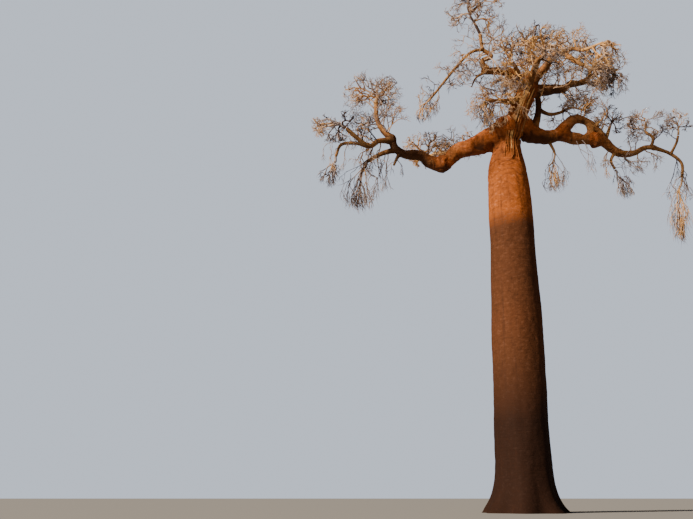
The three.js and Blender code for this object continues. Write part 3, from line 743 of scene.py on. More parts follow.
def twig_arrays(points, radii, sides):
    """Closed pointed tubes along many lines at once, as vertices and triangles."""
    count, steps = points.shape[:2]
    rings = ring_vertices(points[:, :-1], radii[:, :-1], sides).reshape(count, -1, 3)
    vertices = np.concatenate([rings, points[:, -1:]], axis=1)
    low = np.arange(steps - 2)[:, None] * sides + np.arange(sides)
    low_next = np.arange(steps - 2)[:, None] * sides + (np.arange(sides) + 1) % sides
    walls = np.concatenate([
        np.stack([low, low_next, low_next + sides], -1).reshape(-1, 3),
        np.stack([low, low_next + sides, low + sides], -1).reshape(-1, 3)])
    top = (steps - 2) * sides
    around = np.arange(sides)
    tips = np.stack([top + around, top + (around + 1) % sides, np.full(sides, top + sides)], -1)
    fan = np.arange(1, sides - 1)
    base = np.stack([np.zeros_like(fan), fan + 1, fan], -1)
    pattern = np.concatenate([walls, tips, base])
    offsets = np.arange(count)[:, None, None] * vertices.shape[1]
    return vertices.reshape(-1, 3), (pattern + offsets).reshape(-1, 3), len(pattern)


def closed_grid(rings, first_pole, last_pole):
    """A grid of rings closed by two poles: vertices, and its quads and end triangles."""
    rows, sides = rings.shape[:2]
    vertices = np.concatenate([rings.reshape(-1, 3), [first_pole, last_pole]])
    low = np.arange(rows - 1)[:, None] * sides + np.arange(sides)
    low_next = np.arange(rows - 1)[:, None] * sides + (np.arange(sides) + 1) % sides
    quads = np.stack([low, low_next, low_next + sides, low + sides], -1).reshape(-1, 4)
    around = np.arange(sides)
    after = (around + 1) % sides
    bottom = np.stack([after, around, np.full(sides, rows * sides)], -1)
    last = (rows - 1) * sides
    top = np.stack([last + around, last + after, np.full(sides, rows * sides + 1)], -1)
    return vertices, quads, np.concatenate([bottom, top])


def make_mesh(name, vertices, quads, triangles):
    """A mesh from arrays of vertices, quads and triangles."""
    corners = np.concatenate([quads.ravel(), triangles.ravel()]).astype(np.int32)
    sizes = np.concatenate([np.full(len(quads), 4), np.full(len(triangles), 3)])
    mesh = bpy.data.meshes.new(name)
    mesh.vertices.add(len(vertices))
    mesh.vertices.foreach_set("co", np.ascontiguousarray(vertices, np.float32).ravel())
    mesh.loops.add(len(corners))
    mesh.loops.foreach_set("vertex_index", corners)
    mesh.polygons.add(len(sizes))
    mesh.polygons.foreach_set("loop_start", (np.cumsum(sizes) - sizes).astype(np.int32))
    mesh.update(calc_edges=True)
    return mesh


def add_piece(mesh, materials, nodes, values=None):
    """Makes a mesh an object that rides on the root and stands for its nodes."""
    for key, data in (values or {}).items():
        attribute = mesh.attributes.new(key, "FLOAT", "POINT")
        attribute.data.foreach_set("value", np.ascontiguousarray(data, np.float32))
    for material in materials:
        mesh.materials.append(material)
    mesh.shade_smooth()
    if mesh.validate():
        raise RuntimeError(f"the mesh of {mesh.name} had faults")
    piece = bpy.data.objects.new(mesh.name, mesh)
    bpy.context.scene.collection.objects.link(piece)
    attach(piece, "root")
    if nodes:
        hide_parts(*nodes)
    return piece


def node_tree(name):
    """A new material with its Principled shader, and a helper to add nodes and links."""
    material = bpy.data.materials.new(name)
    material.use_nodes = True
    tree = material.node_tree
    shader = tree.nodes["Principled BSDF"]

    def add(kind, inputs=None, **values):
        node = tree.nodes.new(kind)
        for key, value in values.items():
            setattr(node, key, value)
        for key, value in (inputs or {}).items():
            if isinstance(value, bpy.types.NodeSocket):
                tree.links.new(value, node.inputs[key])
            else:
                node.inputs[key].default_value = value
        return node

    return material, tree, shader, add


def bark_material(settings):
    """Bark: colours by height and age, with painted shade at the foot, then patches, dark and pale
    mottle, streaks, wrinkles, and the painted shade that the mesh carries. The wrinkles, the mottle
    and a fine grain raise the bump."""
    material, tree, shader, add = node_tree("red_bark")
    coordinates = add("ShaderNodeTexCoord").outputs["Object"]
    age = add("ShaderNodeAttribute", attribute_name="age").outputs["Fac"]
    painted_shade = add("ShaderNodeAttribute", attribute_name="painted_shade").outputs["Fac"]

    def stretched(scale, detail, roughness, size):
        place = add("ShaderNodeMapping", {"Vector": coordinates, "Scale": scale})
        texture = add("ShaderNodeTexNoise", {
            "Vector": place.outputs["Vector"], "Scale": size, "Detail": detail,
            "Roughness": roughness})
        return texture.outputs["Fac"]

    def ramp(value, low, high):
        node = add("ShaderNodeMapRange", {"Value": value, "From Min": low, "From Max": high})
        return node.outputs["Result"]

    def blend(factor, a, b):
        node = add("ShaderNodeMix", data_type="RGBA")
        for socket, value in ((node.inputs[0], factor), (node.inputs[6], a), (node.inputs[7], b)):
            if isinstance(value, bpy.types.NodeSocket):
                tree.links.new(value, socket)
            else:
                socket.default_value = value
        return node.outputs[2]

    def scaled(value, factor):
        return add("ShaderNodeMath", {0: value, 1: factor}, operation="MULTIPLY").outputs[0]

    def layer(name, texture):
        low, high, cover = BARK_LAYERS[name]
        return scaled(ramp(texture, low, high), cover)

    height = add("ShaderNodeSeparateXYZ", {"Vector": coordinates}).outputs["Z"]
    patches, streaks, wrinkles, mottle, grain = (
        stretched(*values) for values in BARK_TEXTURES.values())
    young = (*settings.young_colour, 1)
    dark = (*settings.dark_and_shade_colour, 1)
    wavering = add("ShaderNodeMath", {0: scaled(mottle, BAND_WAVER), 1: height}, operation="ADD")
    share = ramp(wavering.outputs[0], 0, BAND_TOP)
    above_foot = ramp(height, *FOOT_FADE)
    upward = add("ShaderNodeValToRGB", {"Fac": share})
    stops = upward.color_ramp.elements
    while len(stops) < len(BARK_STOPS):
        stops.new(1)
    for stop, (level, name) in zip(stops, BARK_STOPS):
        stop.position = level / BAND_TOP
        stop.color = (*getattr(settings, name), 1)
    warm = blend(scaled(layer("warm", patches), above_foot), upward.outputs["Color"],
                 (*settings.middle_colour, 1))
    aged = blend(age, warm, young)
    browned = blend(scaled(layer("browned", patches), above_foot), aged,
                    (*settings.shoulder_colour, 1))
    mottled = blend(layer("mottled", mottle), browned, dark)
    pale = add("ShaderNodeHueSaturation", {"Color": mottled, **PALE})
    paled = blend(layer("paled", mottle), mottled, pale.outputs["Color"])
    streaked = blend(layer("streaked", streaks), paled, dark)
    creased = blend(layer("creased", wrinkles), streaked, dark)
    # Painted shade from the mesh: creases, gaps between strands, undersides and shadows turn to the
    # dark colour.
    with_painted_shade = blend(painted_shade, creased, dark)
    tree.links.new(with_painted_shade, shader.inputs["Base Color"])
    smoothest, roughest = BARK_ROUGHNESS
    rough = add("ShaderNodeMapRange", {
        "Value": mottle, "To Min": smoothest, "To Max": roughest})
    tree.links.new(rough.outputs["Result"], shader.inputs["Roughness"])
    shader.inputs["Specular IOR Level"].default_value = BARK_SPECULAR
    relief = add("ShaderNodeMath", {0: wrinkles, 1: mottle}, operation="ADD").outputs[0]
    strength, distance = COARSE_BUMP
    coarse = add("ShaderNodeBump", {"Height": relief, "Strength": strength, "Distance": distance})
    strength, distance = FINE_BUMP
    fine = add("ShaderNodeBump", {
        "Height": grain, "Strength": strength, "Distance": distance,
        "Normal": coarse.outputs["Normal"]})
    tree.links.new(fine.outputs["Normal"], shader.inputs["Normal"])
    return material


def twig_material(name, colour):
    """Twig bark: one plain colour that varies a little in lightness, with a fine bump."""
    material, tree, shader, add = node_tree(f"{name}_twig_bark")
    coordinates = add("ShaderNodeTexCoord").outputs["Object"]
    texture = add("ShaderNodeTexNoise", {"Vector": coordinates, **TWIG_TEXTURE})
    (low, high), (darkest, lightest) = TWIG_TEXTURE_RANGE, TWIG_LIGHTNESS
    lightness = add("ShaderNodeMapRange", {
        "Value": texture.outputs["Fac"], "From Min": low, "From Max": high,
        "To Min": darkest, "To Max": lightest})
    shade = add("ShaderNodeHueSaturation", {
        "Color": (*colour, 1), "Value": lightness.outputs["Result"]})
    tree.links.new(shade.outputs["Color"], shader.inputs["Base Color"])
    strength, distance = TWIG_BUMP
    bump = add("ShaderNodeBump", {
        "Height": texture.outputs["Fac"], "Strength": strength, "Distance": distance})
    tree.links.new(bump.outputs["Normal"], shader.inputs["Normal"])
    shader.inputs["Roughness"].default_value = TWIG_ROUGHNESS
    shader.inputs["Specular IOR Level"].default_value = BARK_SPECULAR
    return material


def shared_material(name, make):
    """The material of this name, made once."""
    return bpy.data.materials.get(name) or make()


def shared_bark():
    """The bark's material, made once."""
    settings = bpy.context.scene.baobab.bark
    return shared_material("red_bark", lambda: bark_material(settings))


def twig_materials():
    """The twigs' materials, one for each tint, made once."""
    settings = bpy.context.scene.baobab.twigs
    return [
        shared_material(f"{tint}_twig_bark",
                        lambda tint=tint: twig_material(tint, getattr(settings, f"{tint}_colour")))
        for tint in TINTS]


def around_trunk(angle, height, pattern):
    """Places of a noise round the trunk: a circle of some width, and the stretched height."""
    width, stretch, shift = pattern
    return np.stack([np.cos(angle) * width, np.sin(angle) * width, height * stretch + shift], -1)


def trunk_relief(angle, height):
    """How far the bark stands out from the trunk's plain shape, in metres, and its painted shade.

    Broad lumps all over, upright flutes low down, level wrinkles mostly at the shoulder, and ropy
    strands that wind slowly up the neck, each a noise of the place round the trunk and its height.
    Painted shade darkens the creases, the gaps between the ropes and the neck's front behind them.
    """
    settings = bpy.context.scene.baobab.bark
    lumps = noise(around_trunk(angle, height, BROAD_LUMPS))
    flutes = noise(around_trunk(angle, height, UPRIGHT_FLUTES))
    flutes *= 1 - smoothstep(*FLUTES_END, height)
    places = around_trunk(angle, height, LEVEL_CREASES)
    places[..., 2] += CREASE_WAVER * lumps
    crease = smoothstep(CREASE_EDGE, 1, ridges(places))
    where = smoothstep(*CREASES_START, height) * (1 - smoothstep(*CREASES_END, height))
    where += LEAST_CREASED
    small = noise(around_trunk(angle, height, SMALL_LUMPS))
    wound = angle + WIND * (height - WIND_HEIGHT) + WIND_WAVER * lumps
    ropes = ridges(around_trunk(wound, height, ROPES))
    neck = smoothstep(*NECK, height)
    relief = (settings.lump_height * lumps * (1 - 0.5 * neck) + settings.flute_height * flutes
              - settings.wrinkle_height * crease * where + SMALL_HEIGHT * small
              + settings.strand_height * (ropes - ROPE_LEVEL) * neck)
    # Painted shade: in the gaps between the ropes, on the neck's front behind the strands, and in
    # the creases.
    gaps = np.clip(GAP_SHADE * (GAP_LEVEL - ropes), 0, 1) * neck
    front = smoothstep(*FRONT_START, angle) * (1 - smoothstep(*FRONT_END, angle))
    behind = FRONT_SHADE * front * smoothstep(*STRANDED, height)
    return relief, np.clip(CREASE_SHADE * crease * where + gaps + behind, 0, DARKEST_SHADE)


def limb_relief(places, outward, runs, radii):
    """How far a limb's bark stands out, in metres, its painted shade, and its age from old to
    young.

    Broad lumps and knots by the place, and creases that ring the limb by the run along it. Painted
    shade darkens the rings' creases, the undersides, the dips and the places where a limb lies in
    shadow.
    """
    (fine_lumps, lump_shift), (fine_knots, knot_shift) = LIMB_LUMPS, LIMB_KNOTS
    lumps = noise(places * fine_lumps + lump_shift)
    knots = noise(places * fine_knots + knot_shift)
    turn = RING_TILT * np.stack([outward[..., 0] + outward[..., 1], outward[..., 2]], -1)
    ring_runs = runs * RINGS_PER_METRE + RING_WAVER * lumps
    ring = smoothstep(RING_EDGE, 1, ridges(np.concatenate([turn, ring_runs[..., None]], -1)))
    relief = radii * (LUMP_SHARE * lumps + KNOT_SHARE * knots - RING_SHARE * ring)
    # Painted shade on the undersides, in the rings' creases and dips, and painted shadows.
    under = smoothstep(*UNDERSIDE, -outward[..., 2])
    # Painted shadows, darkest at the middle of each place.
    shadows = sum(np.exp(-(((places - place) / reach) ** 2).sum(-1)) for place, reach in PAINTED_SHADOWS)
    painted_shade = (RING_SHADE * ring + UNDER_SHADE * under + DIP_SHADE * np.clip(-lumps, 0, 1)
              + PAINTED_SHADOW_DARK * shadows)
    age = np.clip(YOUNGEST - radii / OLD_RADIUS + AGE_WAVER * knots, 0, 1)
    return relief, np.clip(painted_shade, 0, DARKEST_SHADE), age


def trunk_rings():
    """Level rings up the trunk to the split: the stations' smooth line, the flare and its lobes,
    and the bark's relief. Above the split they draw in under the skin."""
    rows = np.linspace(0, SPLIT + SPLIT_LAP, TRUNK_ROWS)
    line = trunk_line(rows)
    angle = np.arange(TRUNK_SIDES) * (2 * math.pi / TRUNK_SIDES)
    angle, height = np.meshgrid(angle, rows)
    fade = np.exp(-height / FLARE_HEIGHT)
    lobes = 1 + LOBE_DEPTH * fade * np.cos(ROOT_LOBES * angle)
    relief, painted_shade = trunk_relief(angle, height)
    radius = (line.radii[:, None] + FLARE * fade) * lobes
    radius += relief * smoothstep(0, PLAIN_FOOT, height)
    radius -= TUCKED_IN * smoothstep(SPLIT, SPLIT + TUCK_HEIGHT, height)
    rings = np.stack([
        line.points[:, :1] + radius * np.cos(angle),
        line.points[:, 1:2] + radius * np.sin(angle), height], -1)
    return rings, painted_shade


def rounded_tube(line, sides):
    """Rings of a tube along a line, with a rounded tip: the radius shrinks as a cosine."""
    heading = unit(line.points[-1] - line.points[-2])
    turn = np.linspace(0, math.pi / 2, CAP_RINGS + 2)[1:-1]
    reach = line.radii[-1] * CAP_REACH
    points = np.vstack([line.points, line.points[-1] + heading * (reach * np.sin(turn))[:, None]])
    radii = np.append(line.radii, line.radii[-1] * np.cos(turn))
    rings = ring_vertices(points[None], radii[None], sides)[0]
    return rings, points, radii, points[0], line.points[-1] + heading * reach


def nearest(line, places):
    """Of the skin round a line: signed distance, run, radius and outward direction of the place
    that is nearest to each of some places."""
    start, way = line.points[:-1], np.diff(line.points, axis=0)
    share = ((places[:, None] - start) * way).sum(-1) / (way * way).sum(-1)
    share = np.clip(share, 0, 1)
    off = places[:, None] - start - way * share[..., None]
    away = np.linalg.norm(off, axis=-1)
    radius = mix(line.radii[:-1], line.radii[1:], share)
    run = mix(line.runs[:-1], line.runs[1:], share)
    best = np.argmin(away - radius, axis=1)
    row = np.arange(len(places))
    return ((away - radius)[row, best], run[row, best], radius[row, best], unit(off[row, best]))


def smoothed(vertices, quads, rounds, weights):
    """Each vertex moves by its weight towards the mean of its neighbours, some rounds long."""
    ends = np.concatenate([quads[:, [k, (k + 1) % 4]] for k in range(4)])
    count = np.bincount(ends[:, 0], minlength=len(vertices))
    for _ in range(rounds):
        mean = np.stack([
            np.bincount(ends[:, 0], vertices[ends[:, 1], axis], len(vertices))
            for axis in range(3)], -1) / count[:, None]
        vertices = mix(vertices, mean, weights[:, None])
    return vertices


def normals_of(vertices, quads):
    """Each vertex's normal: the sum of its faces' diagonals crossed."""
    face = np.cross(vertices[quads[:, 2]] - vertices[quads[:, 0]],
                    vertices[quads[:, 3]] - vertices[quads[:, 1]])
    total = np.stack([
        np.bincount(quads.ravel(), np.repeat(face[:, axis], 4), len(vertices))
        for axis in range(3)], -1)
    return unit(total)


def wrapped(tubes):
    """One closed skin round overlapping tubes, from small cubes: its vertices and quads."""
    vertices, quads, triangles = [], [], []
    total = 0
    for tube in tubes:
        some, four, three = closed_grid(*tube)
        vertices.append(some)
        quads.append(four + total)
        triangles.append(three + total)
        total += len(some)
    mesh = make_mesh("tubes", *map(np.concatenate, (vertices, quads, triangles)))
    tubes_object = bpy.data.objects.new("tubes", mesh)
    bpy.context.scene.collection.objects.link(tubes_object)
    remesh = tubes_object.modifiers.new("skin", "REMESH")
    remesh.mode = "VOXEL"
    remesh.voxel_size = SKIN_SIZE
    wrap = tubes_object.evaluated_get(bpy.context.evaluated_depsgraph_get()).to_mesh()
    places = np.empty(len(wrap.vertices) * 3, np.float32)
    wrap.vertices.foreach_get("co", places)
    corners = np.empty(len(wrap.loops), np.int32)
    wrap.loops.foreach_get("vertex_index", corners)
    if len(corners) != 4 * len(wrap.polygons):
        raise RuntimeError("the skin isn't all quads")
    bpy.data.objects.remove(tubes_object)
    bpy.data.meshes.remove(mesh)
    return places.reshape(-1, 3).astype(float), corners.reshape(-1, 4)


def largest_shell(vertices, quads):
    """The part of a mesh that hangs together and has the most vertices."""
    group = np.arange(len(vertices))
    while True:
        low = group[quads].min(axis=1)
        lower = group.copy()
        np.minimum.at(lower, quads.ravel(), np.repeat(low, 4))
        lower = lower[lower]
        if np.array_equal(lower, group):
            break
        group = lower
    kept = group == np.bincount(group).argmax()
    index = np.cumsum(kept) - 1
    return vertices[kept], index[quads[kept[quads].all(axis=1)]]


def skin_arrays(thick):
    """The skin over the trunk's top and the thick limbs: wrapped, smoothed most where two of them
    meet, and pushed out by the bark's relief. Below the split it turns in to a flat end."""
    rows = np.arange(SPLIT - SPLIT_LAP, TRUNK[-1][2], TOP_STEP)
    top = trunk_line(np.append(rows, TRUNK[-1][2]))
    lines = {"trunk": top, **{name: limb_line(name) for name in thick}}
    tubes = []
    for name, line in lines.items():
        sides = int(np.clip(line.radii[0] * SIDES_PER_METRE, FEWEST_SIDES, MOST_SIDES))
        rings, _, _, first_pole, last_pole = rounded_tube(line, sides)
        tubes.append((rings, first_pole, last_pole))
    vertices, quads = largest_shell(*wrapped(tubes))
    rounds, weight = SMOOTHING
    vertices = smoothed(vertices, quads, rounds, np.full(len(vertices), weight))
    gaps = np.sort([nearest(line, vertices)[0] for line in lines.values()], axis=0)
    meeting = np.exp(-(((gaps[1] - gaps[0]) / MEETING_GAP) ** 2))
    rounds, weight = MEETING_SMOOTHING
    vertices = smoothed(vertices, quads, rounds, weight * meeting)
    normals = normals_of(vertices, quads)
    found = [nearest(line, vertices) for line in lines.values()]
    trunk_gap = found[0][0]
    limb_gaps = np.array([part[0] for part in found[1:]])
    best = limb_gaps.argmin(axis=0)
    row = np.arange(len(vertices))
    runs, radii = (np.array([part[k] for part in found[1:]])[best, row] for k in (1, 2))
    outward = np.array([part[3] for part in found[1:]])[best, row]
    own, own_shade, age = limb_relief(vertices, outward, runs, radii)
    centre = trunk_line(np.clip(vertices[:, 2], 0, TRUNK[-1][2])).points
    angle = np.arctan2(vertices[:, 1] - centre[:, 1], vertices[:, 0] - centre[:, 0])
    bark, bark_shade = trunk_relief(angle, vertices[:, 2])
    share = smoothstep(-RELIEF_GAP, RELIEF_GAP, limb_gaps.min(axis=0) - trunk_gap)
    relief, painted_shade = mix(own, bark, share), mix(own_shade, bark_shade, share)
    vertices = vertices + normals * relief[:, None]
    below = np.clip(SPLIT - vertices[:, 2], 0, None)
    axis = trunk_line(np.array([SPLIT])).points[0]
    shrink = 1 - END_SHARE * np.clip(below / SPLIT_LAP, 0, 1)
    flat = axis + (vertices - axis) * np.stack([shrink, shrink, np.zeros_like(shrink)], -1)
    vertices = np.where(below[:, None] > 0, flat, vertices)
    return vertices, quads, painted_shade, age * (1 - share)


class BAOBAB_OT_trunk(Operator):
    """Make the trunk's bark up to the shoulder, with its flare, flutes and wrinkles"""

    bl_idname = "baobab.trunk"
    bl_label = "Trunk"

    def execute(self, context):
        rings, painted_shade = trunk_rings()
        centres = rings.mean(axis=1)
        vertices, quads, triangles = closed_grid(rings, centres[0], centres[-1])
        values = {"painted_shade": np.append(painted_shade.ravel(), [0, 0]), "age": np.zeros(len(vertices))}
        mesh = make_mesh("trunk_bark", vertices, quads, triangles)
        add_piece(mesh, [shared_bark()], ["trunk"], values)
        return {"FINISHED"}


class BAOBAB_OT_boughs(Operator):
    """Make one skin of bark over the trunk's top and the thick limbs"""

    bl_idname = "baobab.boughs"
    bl_label = "Thick boughs"

    def execute(self, context):
        thick = [name for name, limb in LIMBS.items() if limb[2] >= THICK]
        vertices, quads, painted_shade, age = skin_arrays(thick)
        mesh = make_mesh("bough_bark", vertices, quads, np.zeros((0, 3), int))
        values = {"painted_shade": painted_shade, "age": age}
        add_piece(mesh, [shared_bark()], thick, values)
        return {"FINISHED"}


class BAOBAB_OT_branches(Operator):
    """Make the bark of each thin limb"""

    bl_idname = "baobab.branches"
    bl_label = "Thin limbs"

    def execute(self, context):
        for name in [name for name, limb in LIMBS.items() if limb[2] < THICK]:
            line = limb_line(name)
            sides = int(max(LIMBS[name][2] * SIDES_PER_METRE, FEWEST_SIDES))
            rings, points, radii, first_pole, last_pole = rounded_tube(line, sides)
            outward = unit(rings - points[:, None])
            runs = np.repeat(runs_along(points)[:, None], sides, 1)
            wide = np.repeat(radii[:, None], sides, 1)
            relief, painted_shade, age = limb_relief(rings, outward, runs, wide)
            rings = rings + outward * relief[..., None]
            vertices, quads, triangles = closed_grid(rings, first_pole, last_pole)
            values = {
                "painted_shade": np.append(painted_shade.ravel(), [0, 0]),
                "age": np.append(age.ravel(), [age[0].mean(), age[-1].mean()]),
            }
            mesh = make_mesh(f"{name}_bark", vertices, quads, triangles)
            add_piece(mesh, [shared_bark()], [name], values)
        return {"FINISHED"}


def skin_places(angles, heights):
    """Places on the outermost skin round the neck: from far out, each steps in towards the trunk's
    axis by its distance from the nearest limb."""
    near = [name for name, limb in LIMBS.items() if limb[0] == "trunk" or name == "side_stem"]
    rows = np.linspace(SPLIT, TRUNK[-1][2], SEARCH_ROWS)
    lines = [trunk_line(rows), *map(limb_line, near)]
    trunk = trunk_line(heights)
    centre = trunk.points
    way = np.stack([np.cos(angles), np.sin(angles), np.zeros_like(angles)], -1)
    reach = np.full(len(angles), SEARCH_REACH)
    for _ in range(SEARCH_STEPS):
        places = centre + way * reach[:, None]
        gap = np.min([nearest(line, places)[0] for line in lines], axis=0)
        reach = reach - SEARCH_SHARE * gap
    reach = np.minimum(reach, trunk.radii + FARTHEST_STRAND)
    return centre + way * reach[:, None], way


def strand_lines(thickest):
    """Lines down the neck, half of them in front and half behind, from near its top to near the
    shoulder, with their radii and with a share from 0 to 1 for each that says how golden it is."""
    i = np.arange(STRANDS)
    share = np.linspace(0, 1, STRAND_POINTS)
    high, low, round_trunk, wide, gold = (
        draw(i + STRAND_SEED, STRAND_DRAW + number) for number in range(5))
    top, bottom = mix(*STRAND_STARTS, high), mix(*STRAND_ENDS, low)
    heights = mix(top[:, None], bottom[:, None], share)
    spread = (i + round_trunk) / STRANDS * 2 % 1
    middle = np.where(i * 2 < STRANDS, mix(*FRONT_STRANDS, spread), mix(*BACK_STRANDS, spread))
    apart, stretch = WANDER_SIZE
    wander = noise(np.stack([
        np.repeat(middle[:, None] * apart, STRAND_POINTS, 1), heights * stretch,
        np.zeros_like(heights)], -1))
    angles = middle[:, None] + STRAND_WANDER * wander
    places, way = skin_places(angles.ravel(), heights.ravel())
    radii = (thickest * mix(THINNEST_STRAND, 1, wide))[:, None] * mix(1, STRAND_END, share)
    points = places.reshape(STRANDS, -1, 3)
    points = points + (way.reshape(points.shape) * (radii * STRAND_PROUD)[..., None])
    for _ in range(STRAND_ROUNDS):
        points[:, 1:-1] = (points[:, :-2] + points[:, 1:-1] * 2 + points[:, 2:]) / 4
    return points, radii, gold


class BAOBAB_OT_strands(Operator):
    """Make the strands that run down the neck over the arms' roots"""

    bl_idname = "baobab.strands"
    bl_label = "Neck strands"

    def execute(self, context):
        points, radii, gold = strand_lines(context.scene.baobab.bark.strand_radius)
        vertices, triangles, each = twig_arrays(points, radii, STRAND_SIDES)
        mesh = make_mesh("neck_strands", vertices, np.zeros((0, 4), int), triangles)
        values = {"painted_shade": np.zeros(len(vertices)), "age": np.full(len(vertices), STRAND_AGE)}
        materials = [shared_bark(), twig_materials()[0]]
        piece = add_piece(mesh, materials, [], values)
        golden = vertices[triangles[:, 0], 2] > np.repeat(mix(*GOLDEN_FROM, gold), each)
        piece.data.polygons.foreach_set("material_index", golden.astype(np.int32))
        return {"FINISHED"}


Twigs = namedtuple("Twigs", "points seeds radii sprays middles halves")


class Neighbours:
    """Straight stretches of limbs and coarse twigs, which keep later twigs clear."""

    def __init__(self):
        self.owners = []
        self.starts = []
        self.ends = []
        self.radii = []
        for name, chain in CHAINS.items():
            self.remember(name, chain.points[None], chain.radii[None])

    def remember(self, owner, lines, radii):
        """Adds the stretches of lines (n, k, 3) with radii (n, k)."""
        count = lines.shape[0] * (lines.shape[1] - 1)
        self.owners += [owner] * count
        self.starts.append(lines[:, :-1].reshape(-1, 3))
        self.ends.append(lines[:, 1:].reshape(-1, 3))
        self.radii.append(np.maximum(radii[:, :-1], radii[:, 1:]).ravel())

    def near(self, low, high, besides):
        """The stretches that come near a box and aren't of one owner."""
        starts, ends = np.concatenate(self.starts), np.concatenate(self.ends)
        radii = np.concatenate(self.radii)
        reach = radii[:, None] + NEAR_REACH
        lowest, highest = np.minimum(starts, ends) - reach, np.maximum(starts, ends) + reach
        close = np.all((lowest < high) & (highest > low), axis=1)
        close &= np.array(self.owners) != besides
        return starts[close], ends[close], radii[close]


def stretch_distances(a, b, c, d):
    """Shortest distance between each stretch a-b and each stretch c-d, by the two shares that
    bring the lines nearest, kept from 0 to 1."""
    u, v, w = b - a, d - c, a - c
    uu, uv, vv = (u * u).sum(-1), (u * v).sum(-1), (v * v).sum(-1)
    uw, vw = (u * w).sum(-1), (v * w).sum(-1)
    det = uu * vv - uv * uv
    s = np.where(det > 1e-12, np.clip((uv * vw - vv * uw) / np.maximum(det, 1e-12), 0, 1), 0)
    t = np.clip((uv * s + vw) / vv, 0, 1)
    back = np.clip((uv * t - uw) / np.maximum(uu, 1e-12), 0, 1)
    return np.linalg.norm(a + u * back[..., None] - c - v * t[..., None], axis=-1)


def clear_of(lines, radii, near):
    """Whether each line keeps its radius and a clearance from the stretches near it."""
    starts, ends, other = near
    if not len(starts) or not len(lines):
        return np.ones(len(lines), bool)
    gap = stretch_distances(
        lines[:, :-1, None], lines[:, 1:, None], starts[None, None], ends[None, None])
    return np.all(gap >= radii[:, None, None] + other + TWIG_CLEARANCE, axis=(1, 2))


def outness(middles, halves, places):
    """How far out places are in their space: 0 in its middle and 1 at its edge."""
    return np.linalg.norm((places - middles) / halves, axis=-1)


def shoot_points(seeds, starts, headings, ends, hang):
    """Points of shoots: each step keeps part of the heading, turns to the end, strays by the seed
    and hangs where the mass droops."""
    points = [starts]
    heading = headings
    for k in range(SHOOT_STEPS):
        way = ends - points[-1]
        step = np.linalg.norm(way, axis=-1, keepdims=True) / (SHOOT_STEPS - k)
        aside = 2 * np.stack([draw(seeds, 3 * k + i) for i in range(3)], -1) - 1
        heading = heading * KEEP + unit(way) * AIM + aside * STRAY
        heading[:, 2] -= hang * HANG
        heading = unit(heading)
        points.append(points[-1] + heading * step)
    return np.stack(points, 1)


def fitting(twigs, limits, near):
    """The twigs that stay in their space and the crown's box, and clear of other pieces."""
    out = outness(twigs.middles[:, None], twigs.halves[:, None], twigs.points)
    inside = np.all(out <= np.maximum(limits, out[:, 0])[:, None], axis=1)
    low, high = np.array(CAD_BOX[0]) - PAST_BOX, np.array(CAD_BOX[1]) + PAST_BOX
    inside &= np.all((twigs.points > low) & (twigs.points < high), axis=(1, 2))
    inside[inside] = clear_of(twigs.points[inside][:, ::2], twigs.radii[inside], near)
    return inside


def joined(groups):
    """Groups of twigs as one group."""
    return Twigs(*(np.concatenate(parts) for parts in zip(*groups)))


def chosen(twigs, which):
    """Some of a group of twigs."""
    return Twigs(*(part[which] for part in twigs))


def first_twigs(middle, half, hang, seed, start, stem, foot, near):
    """First twigs of a mass: their directions are spread evenly, and most end near the edge."""
    count = math.floor(FIRST_PER_METRE * half.sum() / 3 + 0.5)
    i = np.arange(count)
    rise = 1 - 2 * ((draw(seed, RISE_DRAW) + i * SPREAD_RISE) % 1)
    turn = 2 * math.pi * ((draw(seed, TURN_DRAW) + i * SPREAD_TURN) % 1)
    flat = np.sqrt(1 - rise * rise)
    down = mix(rise, -np.abs(rise), hang)
    to_edge = np.stack([flat * np.cos(turn), flat * np.sin(turn), down], -1)
    reach = mix(SHORTEST, OUTWARD, np.sqrt(draw(seed, REACH_DRAW + i)))
    ends = middle + to_edge * half * reach[:, None]
    cosine = (unit(ends - start) * unit(middle - start)).sum(-1)
    aside = np.arccos(np.clip(cosine, -1, 1)) / math.pi
    shares = mix(HIGHEST_FORK, LOWEST_FORK, np.minimum(1, aside * 2)) * (1 - SOONER * hang)
    places, headings = along(np.repeat(stem[None], count, 0), shares)
    ways = unit(unit(ends - places) + headings)
    found = []
    todo = i
    for attempt in range(TRIES):
        seeds = seed + FIRST_SEED_STEP * (todo + 1) + RETRY_SEED_STEP * attempt
        points = shoot_points(seeds, places[todo], ways[todo], ends[todo], hang)
        every = np.ones((len(todo), 1))
        tried = Twigs(points, seeds, foot * FIRST_RADIUS * (1 - THINNER * hang) * every[:, 0], todo,
                      middle * every, half * every)
        good = fitting(tried, 1, near)
        found.append(chosen(tried, good))
        todo = todo[~good]
    return joined(found)


def turned_aside(seeds, headings):
    """Directions square to some headings, turned round them by the seeds."""
    aside = np.stack([draw(seeds, ASIDE_DRAW + axis) for axis in range(3)], -1) - 0.5
    return unit(aside - headings * (aside * headings).sum(-1, keepdims=True))


